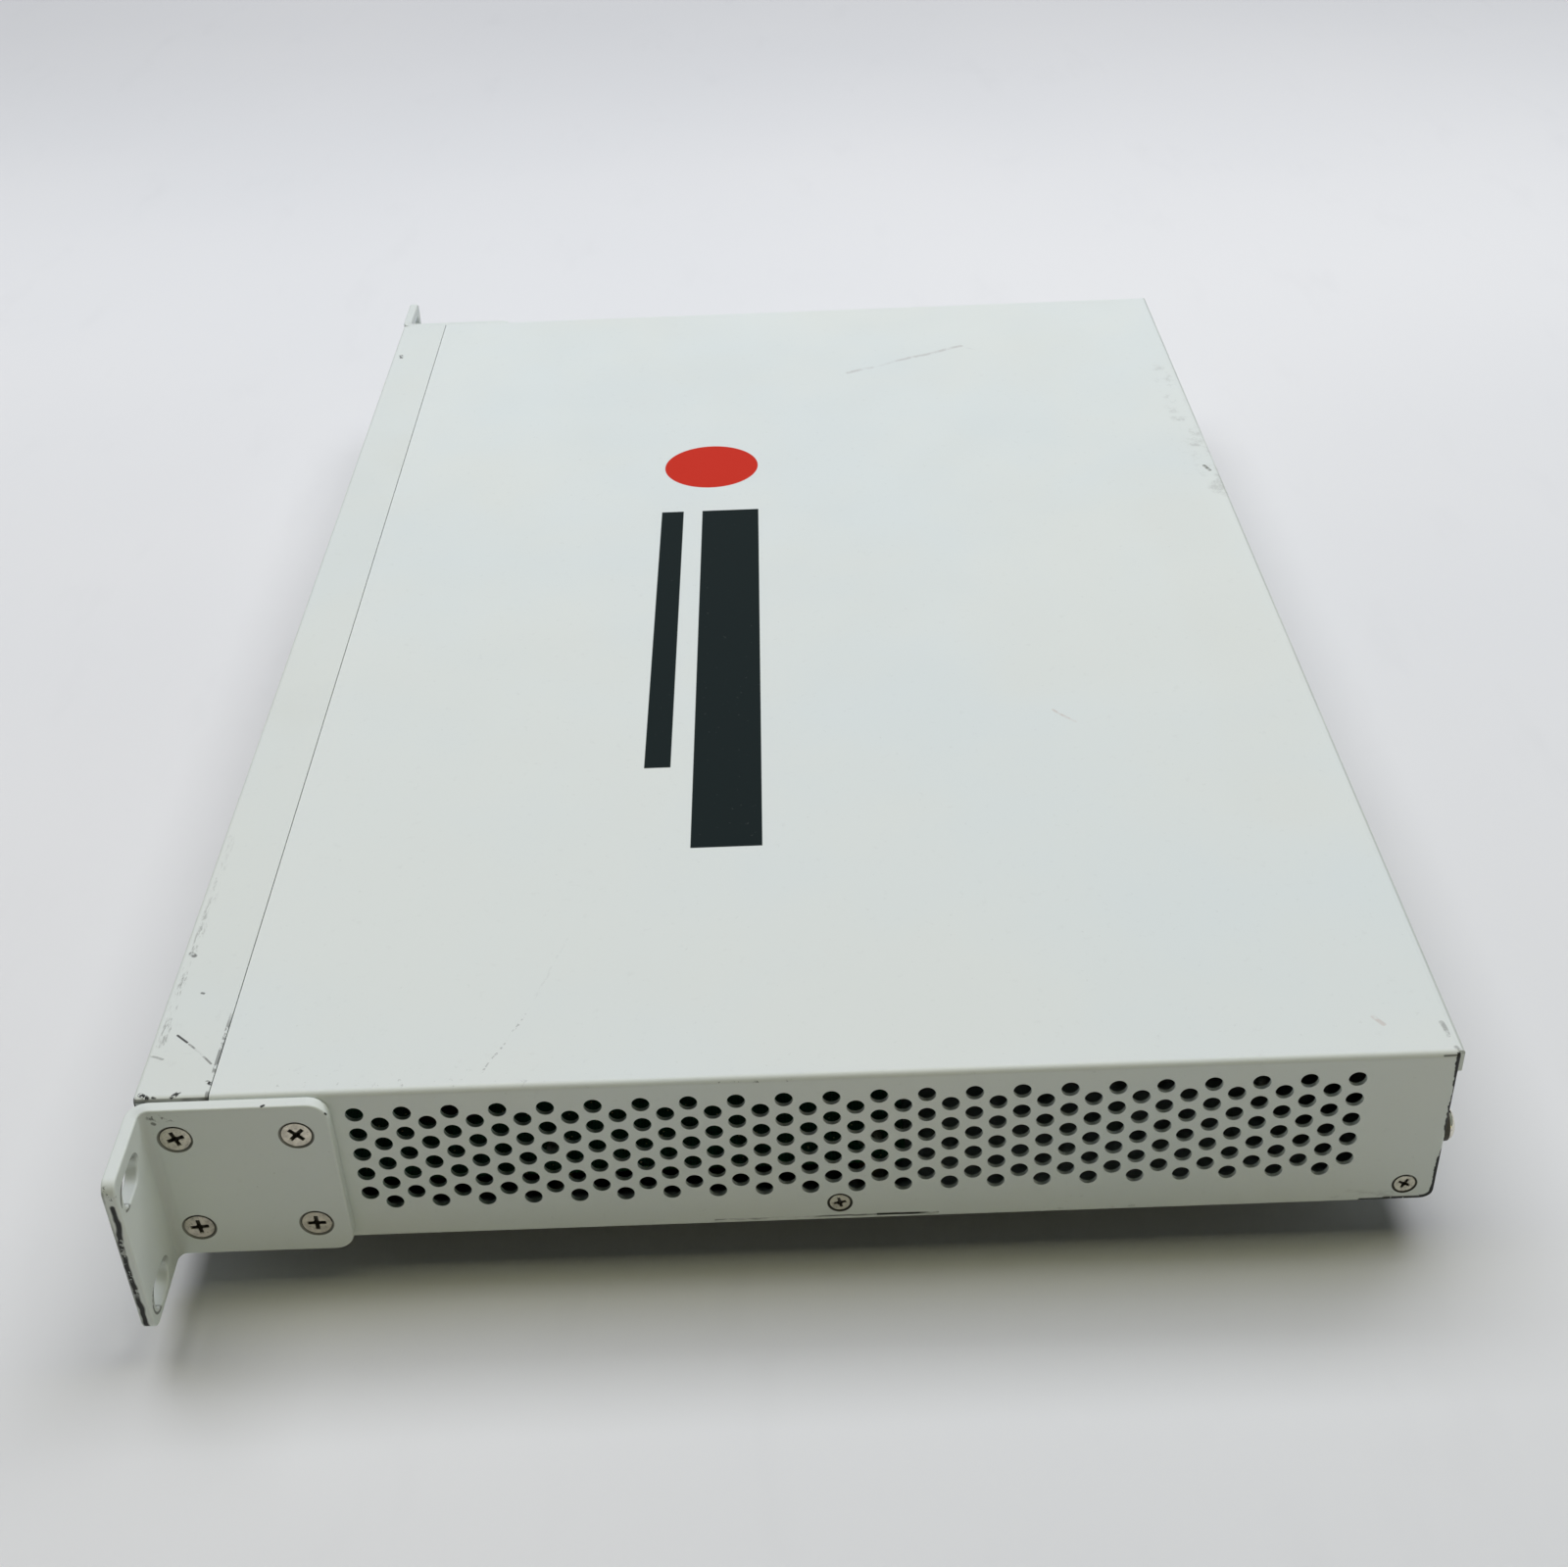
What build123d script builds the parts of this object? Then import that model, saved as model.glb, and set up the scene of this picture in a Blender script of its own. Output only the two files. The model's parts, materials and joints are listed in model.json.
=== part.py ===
from build123d import *
import math
import os

# A one-rack-unit network firewall appliance, built as its separate pieces.
# Millimetres. Chassis frame used while building: X across (+X is the right side seen from
# the front), Y from the bezel's front face towards the rear, Z up from the underside of the
# base. Each piece is moved on export so that the origin is under the middle of the whole
# object, on the surface that its feet stand on.

# ---- Driving dimensions: enclosure ---------------------------------------------------------
WIDTH = 432.0                # across the cover's sides
DEPTH = 287.0                # bezel front to the rear face of the cover's side flanges
HEIGHT = 44.0                # underside of the base to the top of the cover
COVER_SHEET = 1.0
BASE_SHEET = 1.2
EAR_PLATE = 3.0
BEND = 1.5                   # outside bend radius of the cover's long edges
REAR_BEND = 0.6              # the tighter bend of the sides into their return flanges
SIDE_CORNER = 3.0            # the sides' rounded lower rear corners
FOOT_HEIGHT = 10.0
BEZEL_DEPTH = 16.4           # the bezel's top strip
BEZEL_FACE = 2.4
BEZEL_WALL = 1.3
JOINT_GAP = 0.25             # between the bezel's strip and the cover
RETURN_FLANGE = 12.0         # the cover's sides fold in over the rear wall
LIP_HALF = 215.2             # half length of the top's lip, folded down at the rear
LIP_DROP = 10.5              # height of the lip's two end tabs
LIP_SHORT = 2.4              # its height between them, above the fans and the vents
LIP_SHORT_X = (-118.0, 176.0)
LIP_CHAMFER = 4.5
BASE_HALF = 214.5            # half width of the base, inside the cover
BASE_FLANGE = 7.6            # the base's sides stand up below the vents

# ---- Driving dimensions: rack ears ---------------------------------------------------------
RACK_WIDTH = 482.6
RACK_SLOT_SPACING = 465.1
RACK_UNIT_SPACING = 31.75
SLOT_LENGTH = 11.0
SLOT_RADIUS = 3.5
SLOT_MID = 20.3              # height of the middle of each pair of slots
EAR_PROUD = 0.75             # the ears' front face stands ahead of the bezel
EAR_REAR = 42.3
EAR_BOTTOM = -1.0
EAR_TOP = 43.4
EAR_ARRIS = 0.5              # rounding of the plate's edges
EAR_BEND_OUT = 4.6
EAR_BEND_IN = 1.9
EAR_SCREW_Y = (8.3, 34.7)
EAR_SCREW_Z = (7.5, 34.8)

# ---- Driving dimensions: side vents --------------------------------------------------------
VENT_PITCH = 6.0
VENT_RADIUS = 2.0
VENT_COLUMNS = 43
VENT_ROWS = 5
VENT_FIRST_Y = 47.2
VENT_TOP_Z = 37.4
COLUMN_STEP = VENT_PITCH * math.sin(math.radians(60))

# ---- Driving dimensions: fasteners ---------------------------------------------------------
SIDE_SCREWS = ((152.4, 5.0), (280.0, 4.6))      # Y, Z of the cover's small side screws
REAR_SCREW_X = 210.0
REAR_SCREW_Z = 17.4
REAR_SCREW_HEAD = (8.2, 3.4)  # diameter and height of its pan head
FIT = 0.1                    # radial clearance of a screw in its hole

# ---- Driving dimensions: boards, ports, rear panel -------------------------------------------
STANDOFF = 6.0
BOARD_THICK = 1.6
BOARD_BOTTOM = BASE_SHEET + STANDOFF
BOARD_TOP = BOARD_BOTTOM + BOARD_THICK
WALL_FRONT = 2.7             # front face of the base's front wall
WALL_TOP = 41.5
REAR_WALL_OUT = DEPTH - COVER_SHEET - 0.1
REAR_WALL_IN = REAR_WALL_OUT - BASE_SHEET

JACK_PITCH = 14.0
JACK_HEIGHT = 13.4
JACK_DEPTH = 25.0
JACK_OPEN_W = 11.8
JACK_OPEN_H = 8.4
JACK_FRONT = 0.3
SHIELD = 0.25
PORT_GAP = 0.3               # around a port in the panel's window

LAN_BLOCKS = (("left", -68.0), ("right", -4.0))
LAN_COLUMNS = 4
MGMT_X = -112.0
CONSOLE_X = -172.0
USB_X = -150.0
RESET_X = -135.0
SFP_X = 61.5
SFP_PITCH = 14.5
SFP_COUNT = 4
SFP_HEIGHT = 9.8
SFP_DEPTH = 48.0
SFP_WALL = 0.5
LED_X = (-201.0, -195.0, -189.0)
LED_Z = (14.0, 20.0, 26.0, 32.0)
FRONT_VENT_X = (106.0, 200.0)

FAN_SIZE = 40.0
FAN_DEPTH = 20.0
FAN_X = (60.0, 105.0, 150.0)
FAN_Z = 21.4
FAN_BORE = 18.9
FAN_SCREW_PITCH = 32.0
FAN_BLADES = 7
FAN_REAR = REAR_WALL_IN - 0.1

INLET_X = -176.0
INLET_Z = 21.5
INLET_SCREW_SPACING = 40.0
SWITCH_X = -136.0
SWITCH_Z = 21.5
REAR_VENT_X = (-112.0, 26.0)

ROCKER_TILT = 9.0
ROCKER_HALF = 8.2
ROCKER_TIP = 3.2
ROCKER_PIVOT_Y = REAR_WALL_OUT + 1.4

# The rocker's raised end is the rearmost point of the object, the ears' face the foremost.
TILT = math.radians(ROCKER_TILT)
REARMOST = ROCKER_PIVOT_Y + ROCKER_TIP * math.cos(TILT) + ROCKER_HALF * math.sin(TILT)
TO_ROW = Pos(0, (EAR_PROUD - REARMOST) / 2, FOOT_HEIGHT)


# ---- Helpers -------------------------------------------------------------------------------
def block(x0, x1, y0, y1, z0, z1):
    """A box between two corners."""
    middle = Pos((x0 + x1) / 2, (y0 + y1) / 2, (z0 + z1) / 2)
    return middle * Box(x1 - x0, y1 - y0, z1 - z0)


def centred(x, y, z, width, depth, height):
    """A box given by the middle of its underside."""
    return Pos(x, y, z + height / 2) * Box(width, depth, height)


def rod_x(x0, x1, y, z, radius):
    return Pos((x0 + x1) / 2, y, z) * Rot(0, 90, 0) * Cylinder(radius, x1 - x0)


def rod_y(x, y0, y1, z, radius):
    return Pos(x, (y0 + y1) / 2, z) * Rot(90, 0, 0) * Cylinder(radius, y1 - y0)


def rod_z(x, y, z0, z1, radius):
    return Pos(x, y, (z0 + z1) / 2) * Cylinder(radius, z1 - z0)


def mirrored(shape):
    """The same piece on the other side of the object."""
    return mirror(shape, about=Plane.YZ)


def edges_at(shape, axis, *tests):
    """Edges along an axis whose middle passes every test."""
    found = shape.edges().filter_by(axis)
    for test in tests:
        found = found.filter_by(lambda edge, test=test: test(edge.center()))
    return found


def save(name, *shapes):
    """Write one sub-part, of one solid or of a group of separate solids."""
    solids = []
    for shape in shapes:
        solids.extend(shape.solids())
    placed = [TO_ROW * solid for solid in solids]
    export_step(placed[0] if len(placed) == 1 else Compound(placed), f"parts/{name}.step")


def cross_recess(span, depth):
    """The cross in a screw head whose top is at Z = 0; its wings narrow with depth."""
    wing = span * 0.23
    cross = centred(0, 0, -depth, span, wing, depth + 0.1) + centred(0, 0, -depth, wing, span, depth + 0.1)
    cross += rod_z(0, 0, -depth, 0.1, wing * 0.85)
    taper = Pos(0, 0, -depth / 2 + 0.05) * Cone(span * 0.3, span * 0.52, depth + 0.1)
    return cross & taper


def countersunk_screw(head, shank, length, land, turn=0.0):
    """Flat-head screw along -Z, its face at Z = 0, with a straight land round the head's rim."""
    cone_depth = (head - shank) / 2
    body = rod_z(0, 0, -land, 0, head / 2)
    body += Pos(0, 0, -land - cone_depth / 2) * Cone(shank / 2, head / 2, cone_depth)
    body += rod_z(0, 0, -length, -land - cone_depth, shank / 2)
    return body - Rot(0, 0, turn) * cross_recess(head * 0.62, cone_depth * 0.9)


def pan_screw(head, head_height, shank, length, turn=0.0):
    """Pan-head screw along -Z, seated at Z = 0, its head above."""
    top = rod_z(0, 0, 0, head_height, head / 2)
    top = fillet(top.edges().group_by(Axis.Z)[-1], head_height * 0.62)
    body = top + rod_z(0, 0, -length, 0, shank / 2)
    return body - Pos(0, 0, head_height) * Rot(0, 0, turn) * cross_recess(head * 0.55, head_height * 0.65)


def staggered(first, last, z_low, z_high, pitch):
    """Centres of a staggered hole field in a vertical panel: (across, up)."""
    step = pitch * math.sin(math.radians(60))
    columns = int((last - first) / step) + 1
    rows = int((z_high - z_low - pitch / 2) / pitch) + 1
    for column in range(columns):
        drop = pitch / 2 * (column % 2)
        for row in range(rows):
            yield first + column * step, z_high - drop - row * pitch


# ---- Enclosure -----------------------------------------------------------------------------
def make_top_cover():
    front = BEZEL_DEPTH + JOINT_GAP
    half = WIDTH / 2
    outer = block(-half, half, front, DEPTH, 0, HEIGHT)
    outer = fillet(edges_at(outer, Axis.Y, lambda c: c.Z > HEIGHT - 1), BEND)
    outer = fillet(edges_at(outer, Axis.Z, lambda c: c.Y > DEPTH - 1), REAR_BEND)
    hollow = block(-half + COVER_SHEET, half - COVER_SHEET, front - 1, DEPTH - COVER_SHEET,
                   -1, HEIGHT - COVER_SHEET)
    hollow = fillet(edges_at(hollow, Axis.Y, lambda c: c.Z > HEIGHT - 2), BEND - COVER_SHEET)
    cover = outer - hollow
    cover -= block(-half + RETURN_FLANGE, half - RETURN_FLANGE, DEPTH - 2, DEPTH + 1,
                   -1, HEIGHT - COVER_SHEET)
    # the return flanges start a little above the base, and the sides' lower corners are round
    cover -= block(-half + COVER_SHEET, half - COVER_SHEET, DEPTH - 1.5, DEPTH + 1, -1, SIDE_CORNER)
    corner = block(-half - 1, half + 1, DEPTH - SIDE_CORNER, DEPTH + 1, -1, SIDE_CORNER)
    cover -= corner - rod_x(-half - 2, half + 2, DEPTH - SIDE_CORNER, SIDE_CORNER, SIDE_CORNER)
    cover += make_rear_lip()
    holes = []
    for column in range(VENT_COLUMNS):
        drop = VENT_PITCH / 2 * (column % 2)
        for row in range(VENT_ROWS):
            y = VENT_FIRST_Y + column * COLUMN_STEP
            z = VENT_TOP_Z - drop - row * VENT_PITCH
            holes.append(rod_x(-half - 1, half + 1, y, z, VENT_RADIUS))
    for z in EAR_SCREW_Z:
        holes.append(rod_x(-half - 1, half + 1, EAR_SCREW_Y[1], z, 2.2))
    for y, z in SIDE_SCREWS:
        for side in (-1, 1):
            sink = Rot(0, side * 90, 0) * Cone(1.76, 2.76, COVER_SHEET)
            holes.append(Pos(side * (half - COVER_SHEET / 2), y, z) * sink)
    for side in (-1, 1):
        holes.append(rod_y(side * REAR_SCREW_X, DEPTH - 2, DEPTH + 1, REAR_SCREW_Z, 2.0))
    return cover - holes


def make_rear_lip():
    lip = block(-LIP_HALF, LIP_HALF, DEPTH - 0.4, DEPTH + COVER_SHEET, HEIGHT - LIP_DROP, HEIGHT)
    lip = fillet(edges_at(lip, Axis.X, lambda c: c.Z > HEIGHT - 1 and c.Y > DEPTH), 0.9)
    lip = chamfer(edges_at(lip, Axis.Y, lambda c: c.Z < HEIGHT - LIP_DROP + 1), LIP_CHAMFER)
    return lip - block(*LIP_SHORT_X, DEPTH - 1, DEPTH + 2, 0, HEIGHT - LIP_SHORT)


def port_windows(y0, y1):
    """Solids that cut every front opening through a wall from y0 to y1."""
    gap = PORT_GAP
    cuts = []
    for _, x in LAN_BLOCKS:
        w = LAN_COLUMNS * JACK_PITCH / 2 + 1 + gap
        cuts.append(block(x - w, x + w, y0, y1, BOARD_TOP - gap, BOARD_TOP + 2 * JACK_HEIGHT + 0.8))
    w = JACK_PITCH / 2 + 1 + gap
    cuts.append(block(MGMT_X - w, MGMT_X + w, y0, y1, BOARD_TOP - gap, BOARD_TOP + 2 * JACK_HEIGHT + 0.8))
    cuts.append(block(CONSOLE_X - w, CONSOLE_X + w, y0, y1, BOARD_TOP - gap, BOARD_TOP + JACK_HEIGHT + 0.8))
    cuts.append(block(USB_X - 7 - gap, USB_X + 7 + gap, y0, y1, BOARD_TOP - gap, BOARD_TOP + 15.6 + gap))
    w = SFP_COUNT * SFP_PITCH / 2 + SFP_WALL / 2 + gap
    cuts.append(block(SFP_X - w, SFP_X + w, y0, y1, BOARD_TOP - gap, BOARD_TOP + SFP_HEIGHT + gap))
    for x in LED_X:
        for z in LED_Z:
            cuts.append(rod_y(x, y0, y1, z, 1.2))
    for x in sfp_led_places():
        cuts.append(rod_y(x, y0, y1, 24.0, 1.2))
    cuts.append(rod_y(RESET_X, y0, y1, BOARD_TOP + 4, 1.1))
    for x, z in staggered(FRONT_VENT_X[0], FRONT_VENT_X[1], 8.0, 36.5, VENT_PITCH):
        cuts.append(rod_y(x, y0, y1, z, VENT_RADIUS))
    return cuts


def sfp_led_places():
    return [SFP_X + (i - (SFP_COUNT - 1) / 2) * SFP_PITCH for i in range(SFP_COUNT)]


def make_front_bezel():
    half = WIDTH / 2
    outer = block(-half, half, 0, BEZEL_DEPTH, 0, HEIGHT)
    outer = fillet(edges_at(outer, Axis.Y, lambda c: c.Z > HEIGHT - 1), BEND)
    outer = fillet(outer.edges().filter_by(lambda e: e.center().Y < 0.01 and e.center().Z > 1), 1.0)
    hollow = block(-half + BEZEL_WALL, half - BEZEL_WALL, BEZEL_FACE, BEZEL_DEPTH + 1,
                   -1, HEIGHT - BEZEL_WALL)
    bezel = outer - hollow - port_windows(-1, BEZEL_FACE + 1)
    # a shallow field frames the ports
    bezel -= block(-206, 206, -1, 0.25, 5, 39.5)
    return bezel - [rod_x(-half - 1, half + 1, EAR_SCREW_Y[0], z, 2.2) for z in EAR_SCREW_Z]


def make_chassis_base():
    half = BASE_HALF
    sheet = BASE_SHEET
    front = WALL_FRONT
    base = block(-half, half, front, REAR_WALL_OUT, 0, sheet)
    base += block(-half, half, front, front + sheet, 0, WALL_TOP)
    base += block(-half, half, front, front + 10, WALL_TOP - sheet, WALL_TOP)
    base += block(-half, half, REAR_WALL_IN, REAR_WALL_OUT, 0, HEIGHT - COVER_SHEET - 0.3)
    for side in (-1, 1):
        inner = side * (half - sheet)
        outer = side * half
        low, high = min(inner, outer), max(inner, outer)
        base += block(low, high, front, REAR_WALL_OUT, 0, BASE_FLANGE)
        base += block(low, high, front, 43.5, 0, WALL_TOP)
        base += block(low, high, REAR_WALL_IN - 12, REAR_WALL_OUT, 0, 40)
    base -= port_windows(front - 1, front + sheet + 1)
    cuts = []
    for y in EAR_SCREW_Y:
        for z in EAR_SCREW_Z:
            cuts.append(rod_x(-half - 1, half + 1, y, z, 2.0 + FIT))
    for y, z in SIDE_SCREWS:
        cuts.append(rod_x(-half - 1, half + 1, y, z, 1.75))
    for side in (-1, 1):
        cuts.append(rod_y(side * REAR_SCREW_X, REAR_WALL_IN - 1, REAR_WALL_OUT + 1, REAR_SCREW_Z, 2.0))
    for x in FAN_X:
        cuts.append(rod_y(x, REAR_WALL_IN - 1, REAR_WALL_OUT + 1, FAN_Z, FAN_BORE))
        for dx, dz in corners(FAN_SCREW_PITCH, FAN_SCREW_PITCH):
            cuts.append(rod_y(x + dx, REAR_WALL_IN - 1, REAR_WALL_OUT + 1, FAN_Z + dz, 1.8))
    cuts.append(block(INLET_X - 14, INLET_X + 14, REAR_WALL_IN - 1, REAR_WALL_OUT + 1, 11, 32))
    for dx in (-INLET_SCREW_SPACING / 2, INLET_SCREW_SPACING / 2):
        cuts.append(rod_y(INLET_X + dx, REAR_WALL_IN - 1, REAR_WALL_OUT + 1, INLET_Z, 1.6))
    cuts.append(block(SWITCH_X - 6.5, SWITCH_X + 6.5, REAR_WALL_IN - 1, REAR_WALL_OUT + 1,
                      SWITCH_Z - 9.8, SWITCH_Z + 9.8))
    for x, z in staggered(REAR_VENT_X[0], REAR_VENT_X[1], 8.0, 36.5, VENT_PITCH):
        cuts.append(rod_y(x, REAR_WALL_IN - 1, REAR_WALL_OUT + 1, z, VENT_RADIUS))
    for x, y in foot_places() + standoff_places() + supply_standoff_places():
        cuts.append(rod_z(x, y, -1, sheet + 1, 1.6))
    return base - cuts


def corners(width, depth):
    return [(sx * width / 2, sy * depth / 2) for sx in (-1, 1) for sy in (-1, 1)]


def foot_places():
    return [(sx * 178.0, y) for sx in (-1, 1) for y in (32.0, 256.0)]


def make_feet():
    foot = Pos(0, 0, -FOOT_HEIGHT / 2) * Cone(7.6, 9.0, FOOT_HEIGHT)
    foot = fillet(foot.edges().group_by(Axis.Z)[0], 1.0)
    foot -= rod_z(0, 0, -FOOT_HEIGHT - 1, -4.0, 4.2)
    foot -= rod_z(0, 0, -FOOT_HEIGHT, 1, 1.6)
    screw = Rot(180, 0, 0) * pan_screw(6.4, 2.0, 3.0, 8.0)
    feet = [Pos(x, y, 0) * foot for x, y in foot_places()]
    screws = [Pos(x, y, -4.0) * screw for x, y in foot_places()]
    return feet, screws


def make_rack_ear():
    """The right ear: a side plate bent outwards into the rack flange."""
    side = WIDTH / 2
    reach = RACK_WIDTH / 2
    height = EAR_TOP - EAR_BOTTOM
    front = -EAR_PROUD
    ear = block(side, side + EAR_PLATE, front, EAR_REAR, EAR_BOTTOM, EAR_TOP)
    ear += block(side, reach, front, front + EAR_PLATE, EAR_BOTTOM, EAR_TOP)
    ear = fillet(edges_at(ear, Axis.Z, lambda c: c.X < side + 0.1 and c.Y < 0), EAR_BEND_OUT)
    ear = fillet(edges_at(ear, Axis.Z, lambda c: abs(c.X - side - EAR_PLATE) < 0.1 and c.Y < 5), EAR_BEND_IN)
    ear = fillet(edges_at(ear, Axis.X, lambda c: c.Y > EAR_REAR - 0.1), 4.5)
    ear = fillet(edges_at(ear, Axis.Y, lambda c: c.X > reach - 0.1), 3.0)
    ear = fillet(plate_rims(ear), EAR_ARRIS)
    for z in (SLOT_MID - RACK_UNIT_SPACING / 2, SLOT_MID + RACK_UNIT_SPACING / 2):
        slot = Rot(90, 0, 0) * extrude(SlotOverall(SLOT_LENGTH, 2 * SLOT_RADIUS), height)
        ear -= Pos(RACK_SLOT_SPACING / 2, height / 2, z) * slot
    flats = [face for face in ear.faces().filter_by(Axis.Y) if face.area > 500]
    slot_wires = [wire for face in flats for wire in face.inner_wires()]
    ear = fillet([edge for wire in slot_wires for edge in wire.edges()], EAR_ARRIS)
    for y in EAR_SCREW_Y:
        for z in EAR_SCREW_Z:
            ear -= rod_x(side - 1, side + EAR_PLATE + 1, y, z, 2.15)
            ear -= Pos(side + EAR_PLATE - 0.855, y, z) * Rot(0, 90, 0) * Cone(2.15, 3.86, 1.71)
    return ear


def plate_rims(ear):
    """The outlines of the ear's large flat faces, without the bends between them."""
    reach = RACK_WIDTH / 2
    rims = []
    for face in ear.faces().filter_by(GeomType.PLANE):
        if face.area > 500:
            for edge in face.outer_wire().edges():
                at = edge.center()
                upright = abs(edge.tangent_at(0.5).Z) > 0.99
                if not upright or at.Y > EAR_REAR - 1 or at.X > reach - 1:
                    rims.append(edge)
    return rims


def make_ear_screws():
    """M4 flat-head screws, sunk a little below the plate, with their recesses as they stopped."""
    turns = {(0, 1): 20.0, (1, 1): 45.0, (0, 0): 5.0, (1, 0): 0.0}
    screws = []
    for (i, j), turn in turns.items():
        screw = Rot(0, 90, 0) * countersunk_screw(6.9, 3.9, 8.0, 0.25, turn)
        placed = Pos(WIDTH / 2 + EAR_PLATE - 0.15, EAR_SCREW_Y[i], EAR_SCREW_Z[j]) * screw
        screws += [placed, mirrored(placed)]
    return screws


def make_clinch_nuts():
    nuts = []
    for y in EAR_SCREW_Y:
        for z in EAR_SCREW_Z:
            inner = BASE_HALF - BASE_SHEET
            nut = rod_x(inner - 2.6, inner, y, z, 3.2) - rod_x(inner - 3, inner + 1, y, z, 2.0 + FIT)
            nuts += [nut, mirrored(nut)]
    return nuts


def make_side_screws():
    screws = []
    for (y, z), turn in zip(SIDE_SCREWS, (12.0, 63.0)):
        screw = Rot(0, 90, 0) * countersunk_screw(4.9, 3.2, 5.0, 0.2, turn)
        placed = Pos(WIDTH / 2 - 0.1, y, z) * screw
        screws += [placed, mirrored(placed)]
    return screws


def make_rear_screws():
    screw = Rot(-90, 0, 0) * pan_screw(*REAR_SCREW_HEAD, 3.8, 6.0, 30.0)
    return [Pos(side * REAR_SCREW_X, DEPTH, REAR_SCREW_Z) * screw for side in (-1, 1)]


# ---- Main board ----------------------------------------------------------------------------
BOARD_X = 206.0
BOARD_Y = (5.6, 168.0)


def standoff_places():
    return [(sx * 200.0, y) for sx in (-1, 1) for y in (14.0, 88.0, 160.0)] + [(20.0, 158.0), (20.0, 60.0)]


def standoffs_at(places):
    hexagon = extrude(RegularPolygon(3.0, 6), STANDOFF) - rod_z(0, 0, -1, STANDOFF + 1, 1.5)
    return [Pos(x, y, BASE_SHEET) * hexagon for x, y in places]


def board_screws_at(places):
    screw = pan_screw(5.8, 1.9, 2.8, 5.0, 25.0)
    return [Pos(x, y, BOARD_TOP) * screw for x, y in places]


def make_main_board():
    board = block(-BOARD_X, BOARD_X, BOARD_Y[0], BOARD_Y[1], BOARD_BOTTOM, BOARD_TOP)
    board = fillet(board.edges().filter_by(Axis.Z), 2.0)
    return board - [rod_z(x, y, 0, HEIGHT, 1.6) for x, y in standoff_places()]


def heatsink(width, depth, base, height, fins):
    """A finned aluminium heatsink standing on Z = 0, fins along Y."""
    sink = centred(0, 0, 0, width, depth, base)
    for i in range(fins):
        x = -width / 2 + 0.6 + i * (width - 1.2) / (fins - 1)
        sink += centred(x, 0, 0, 1.2, depth, height)
    return sink


PROCESSOR = (-60.0, 98.0)
SWITCH_CHIP = (60.0, 108.0)


def make_processor_parts():
    x, y = PROCESSOR
    chip = centred(x, y, BOARD_TOP, 35, 35, 1.6) + centred(x, y, BOARD_TOP + 1.6, 26, 26, 1.0)
    sink = Pos(x, y, BOARD_TOP + 2.6) * heatsink(72, 64, 4, 24, 17)
    holes = []
    screws = []
    for dx, dy in corners(60, 52):
        # each screw stands in a pocket cut through the fins
        holes.append(rod_z(x + dx, y + dy, BOARD_TOP + 6.6, HEIGHT, 4.2))
        holes.append(rod_z(x + dx, y + dy, 0, HEIGHT, 1.7))
        screws.append(Pos(x + dx, y + dy, BOARD_TOP + 12.6) * pan_screw(6.0, 2.0, 3.0, 12.0, 10.0))
    return chip, sink - holes, screws


def make_heatsink_springs():
    x, y = PROCESSOR
    spring = Helix(pitch=1.5, height=4.8, radius=2.4)
    wire = sweep(Plane(spring @ 0, z_dir=spring % 0) * Circle(0.3), path=spring)
    return [Pos(x + dx, y + dy, BOARD_TOP + 7.1) * wire for dx, dy in corners(60, 52)]


def make_switch_chip_parts():
    x, y = SWITCH_CHIP
    chip = centred(x, y, BOARD_TOP, 31, 31, 2.2)
    return chip, Pos(x, y, BOARD_TOP + 2.2) * heatsink(45, 45, 3, 14, 12)


def make_memory():
    x, y = -150.0, 108.0
    socket = centred(x, y, BOARD_TOP, 70.5, 6.5, 5.2) - centred(x, y + 2.4, BOARD_TOP + 2, 67.8, 4, 1.3)
    module = centred(x, y + 15.5, BOARD_TOP + 2.1, 67.6, 29.5, 1.1)
    chips = [centred(x + dx, y + 18, BOARD_TOP + 3.2, 10, 12, 1.1) for dx in (-25.5, -8.5, 8.5, 25.5)]
    return socket, module, chips


def make_storage():
    x, y = 140.0, 77.0
    socket = centred(x, y, BOARD_TOP, 22, 8, 4.2) - centred(x, y + 2.6, BOARD_TOP + 1.9, 22.1, 4, 1.2)
    module = centred(x, y + 41.2, BOARD_TOP + 2.0, 21.8, 78, 0.9)
    module -= rod_z(x, y + 80.2, 0, HEIGHT, 1.6)
    chips = [centred(x, y + dy, BOARD_TOP + 2.9, 14, 18, 1.2) for dy in (22, 46)]
    post = rod_z(x, y + 80.2, BOARD_TOP, BOARD_TOP + 2.0, 2.4)
    post -= rod_z(x, y + 80.2, BOARD_TOP - 1, BOARD_TOP + 4, 1.1)
    screw = Pos(x, y + 80.2, BOARD_TOP + 2.9) * pan_screw(4.6, 1.4, 2.0, 2.8)
    return socket, module, chips, post, screw


def make_coin_cell():
    x, y = 178.0, 60.0
    z = BOARD_TOP
    cell = rod_z(x, y, z + 1.25, z + 4.4, 10.0)
    holder = rod_z(x, y, z, z + 4.0, 12.0) - rod_z(x, y, z + 1.2, z + 5, 10.1)
    holder -= block(x - 4, x + 4, y + 5, y + 14, z + 1.2, z + 5)
    return cell, holder


def make_board_capacitors():
    cans = []
    for i in range(6):
        can = rod_z(-20.0 + 11 * i, 150.0 - 4 * (i % 2), BOARD_TOP, BOARD_TOP + 12, 4.0)
        cans.append(fillet(can.edges().group_by(Axis.Z)[-1], 0.6))
    return cans


def make_line_magnetics():
    return [centred(x + dx, 40.0, BOARD_TOP, 24, 12, 5.5) for _, x in LAN_BLOCKS for dx in (-14, 14)]


POWER_HEADER = (-60.0, 160.0)


def make_power_header():
    x, y = POWER_HEADER
    header = centred(x, y, BOARD_TOP, 34, 9, 9)
    return header - centred(x, y, BOARD_TOP + 2, 32.4, 7.4, 8)


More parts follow.
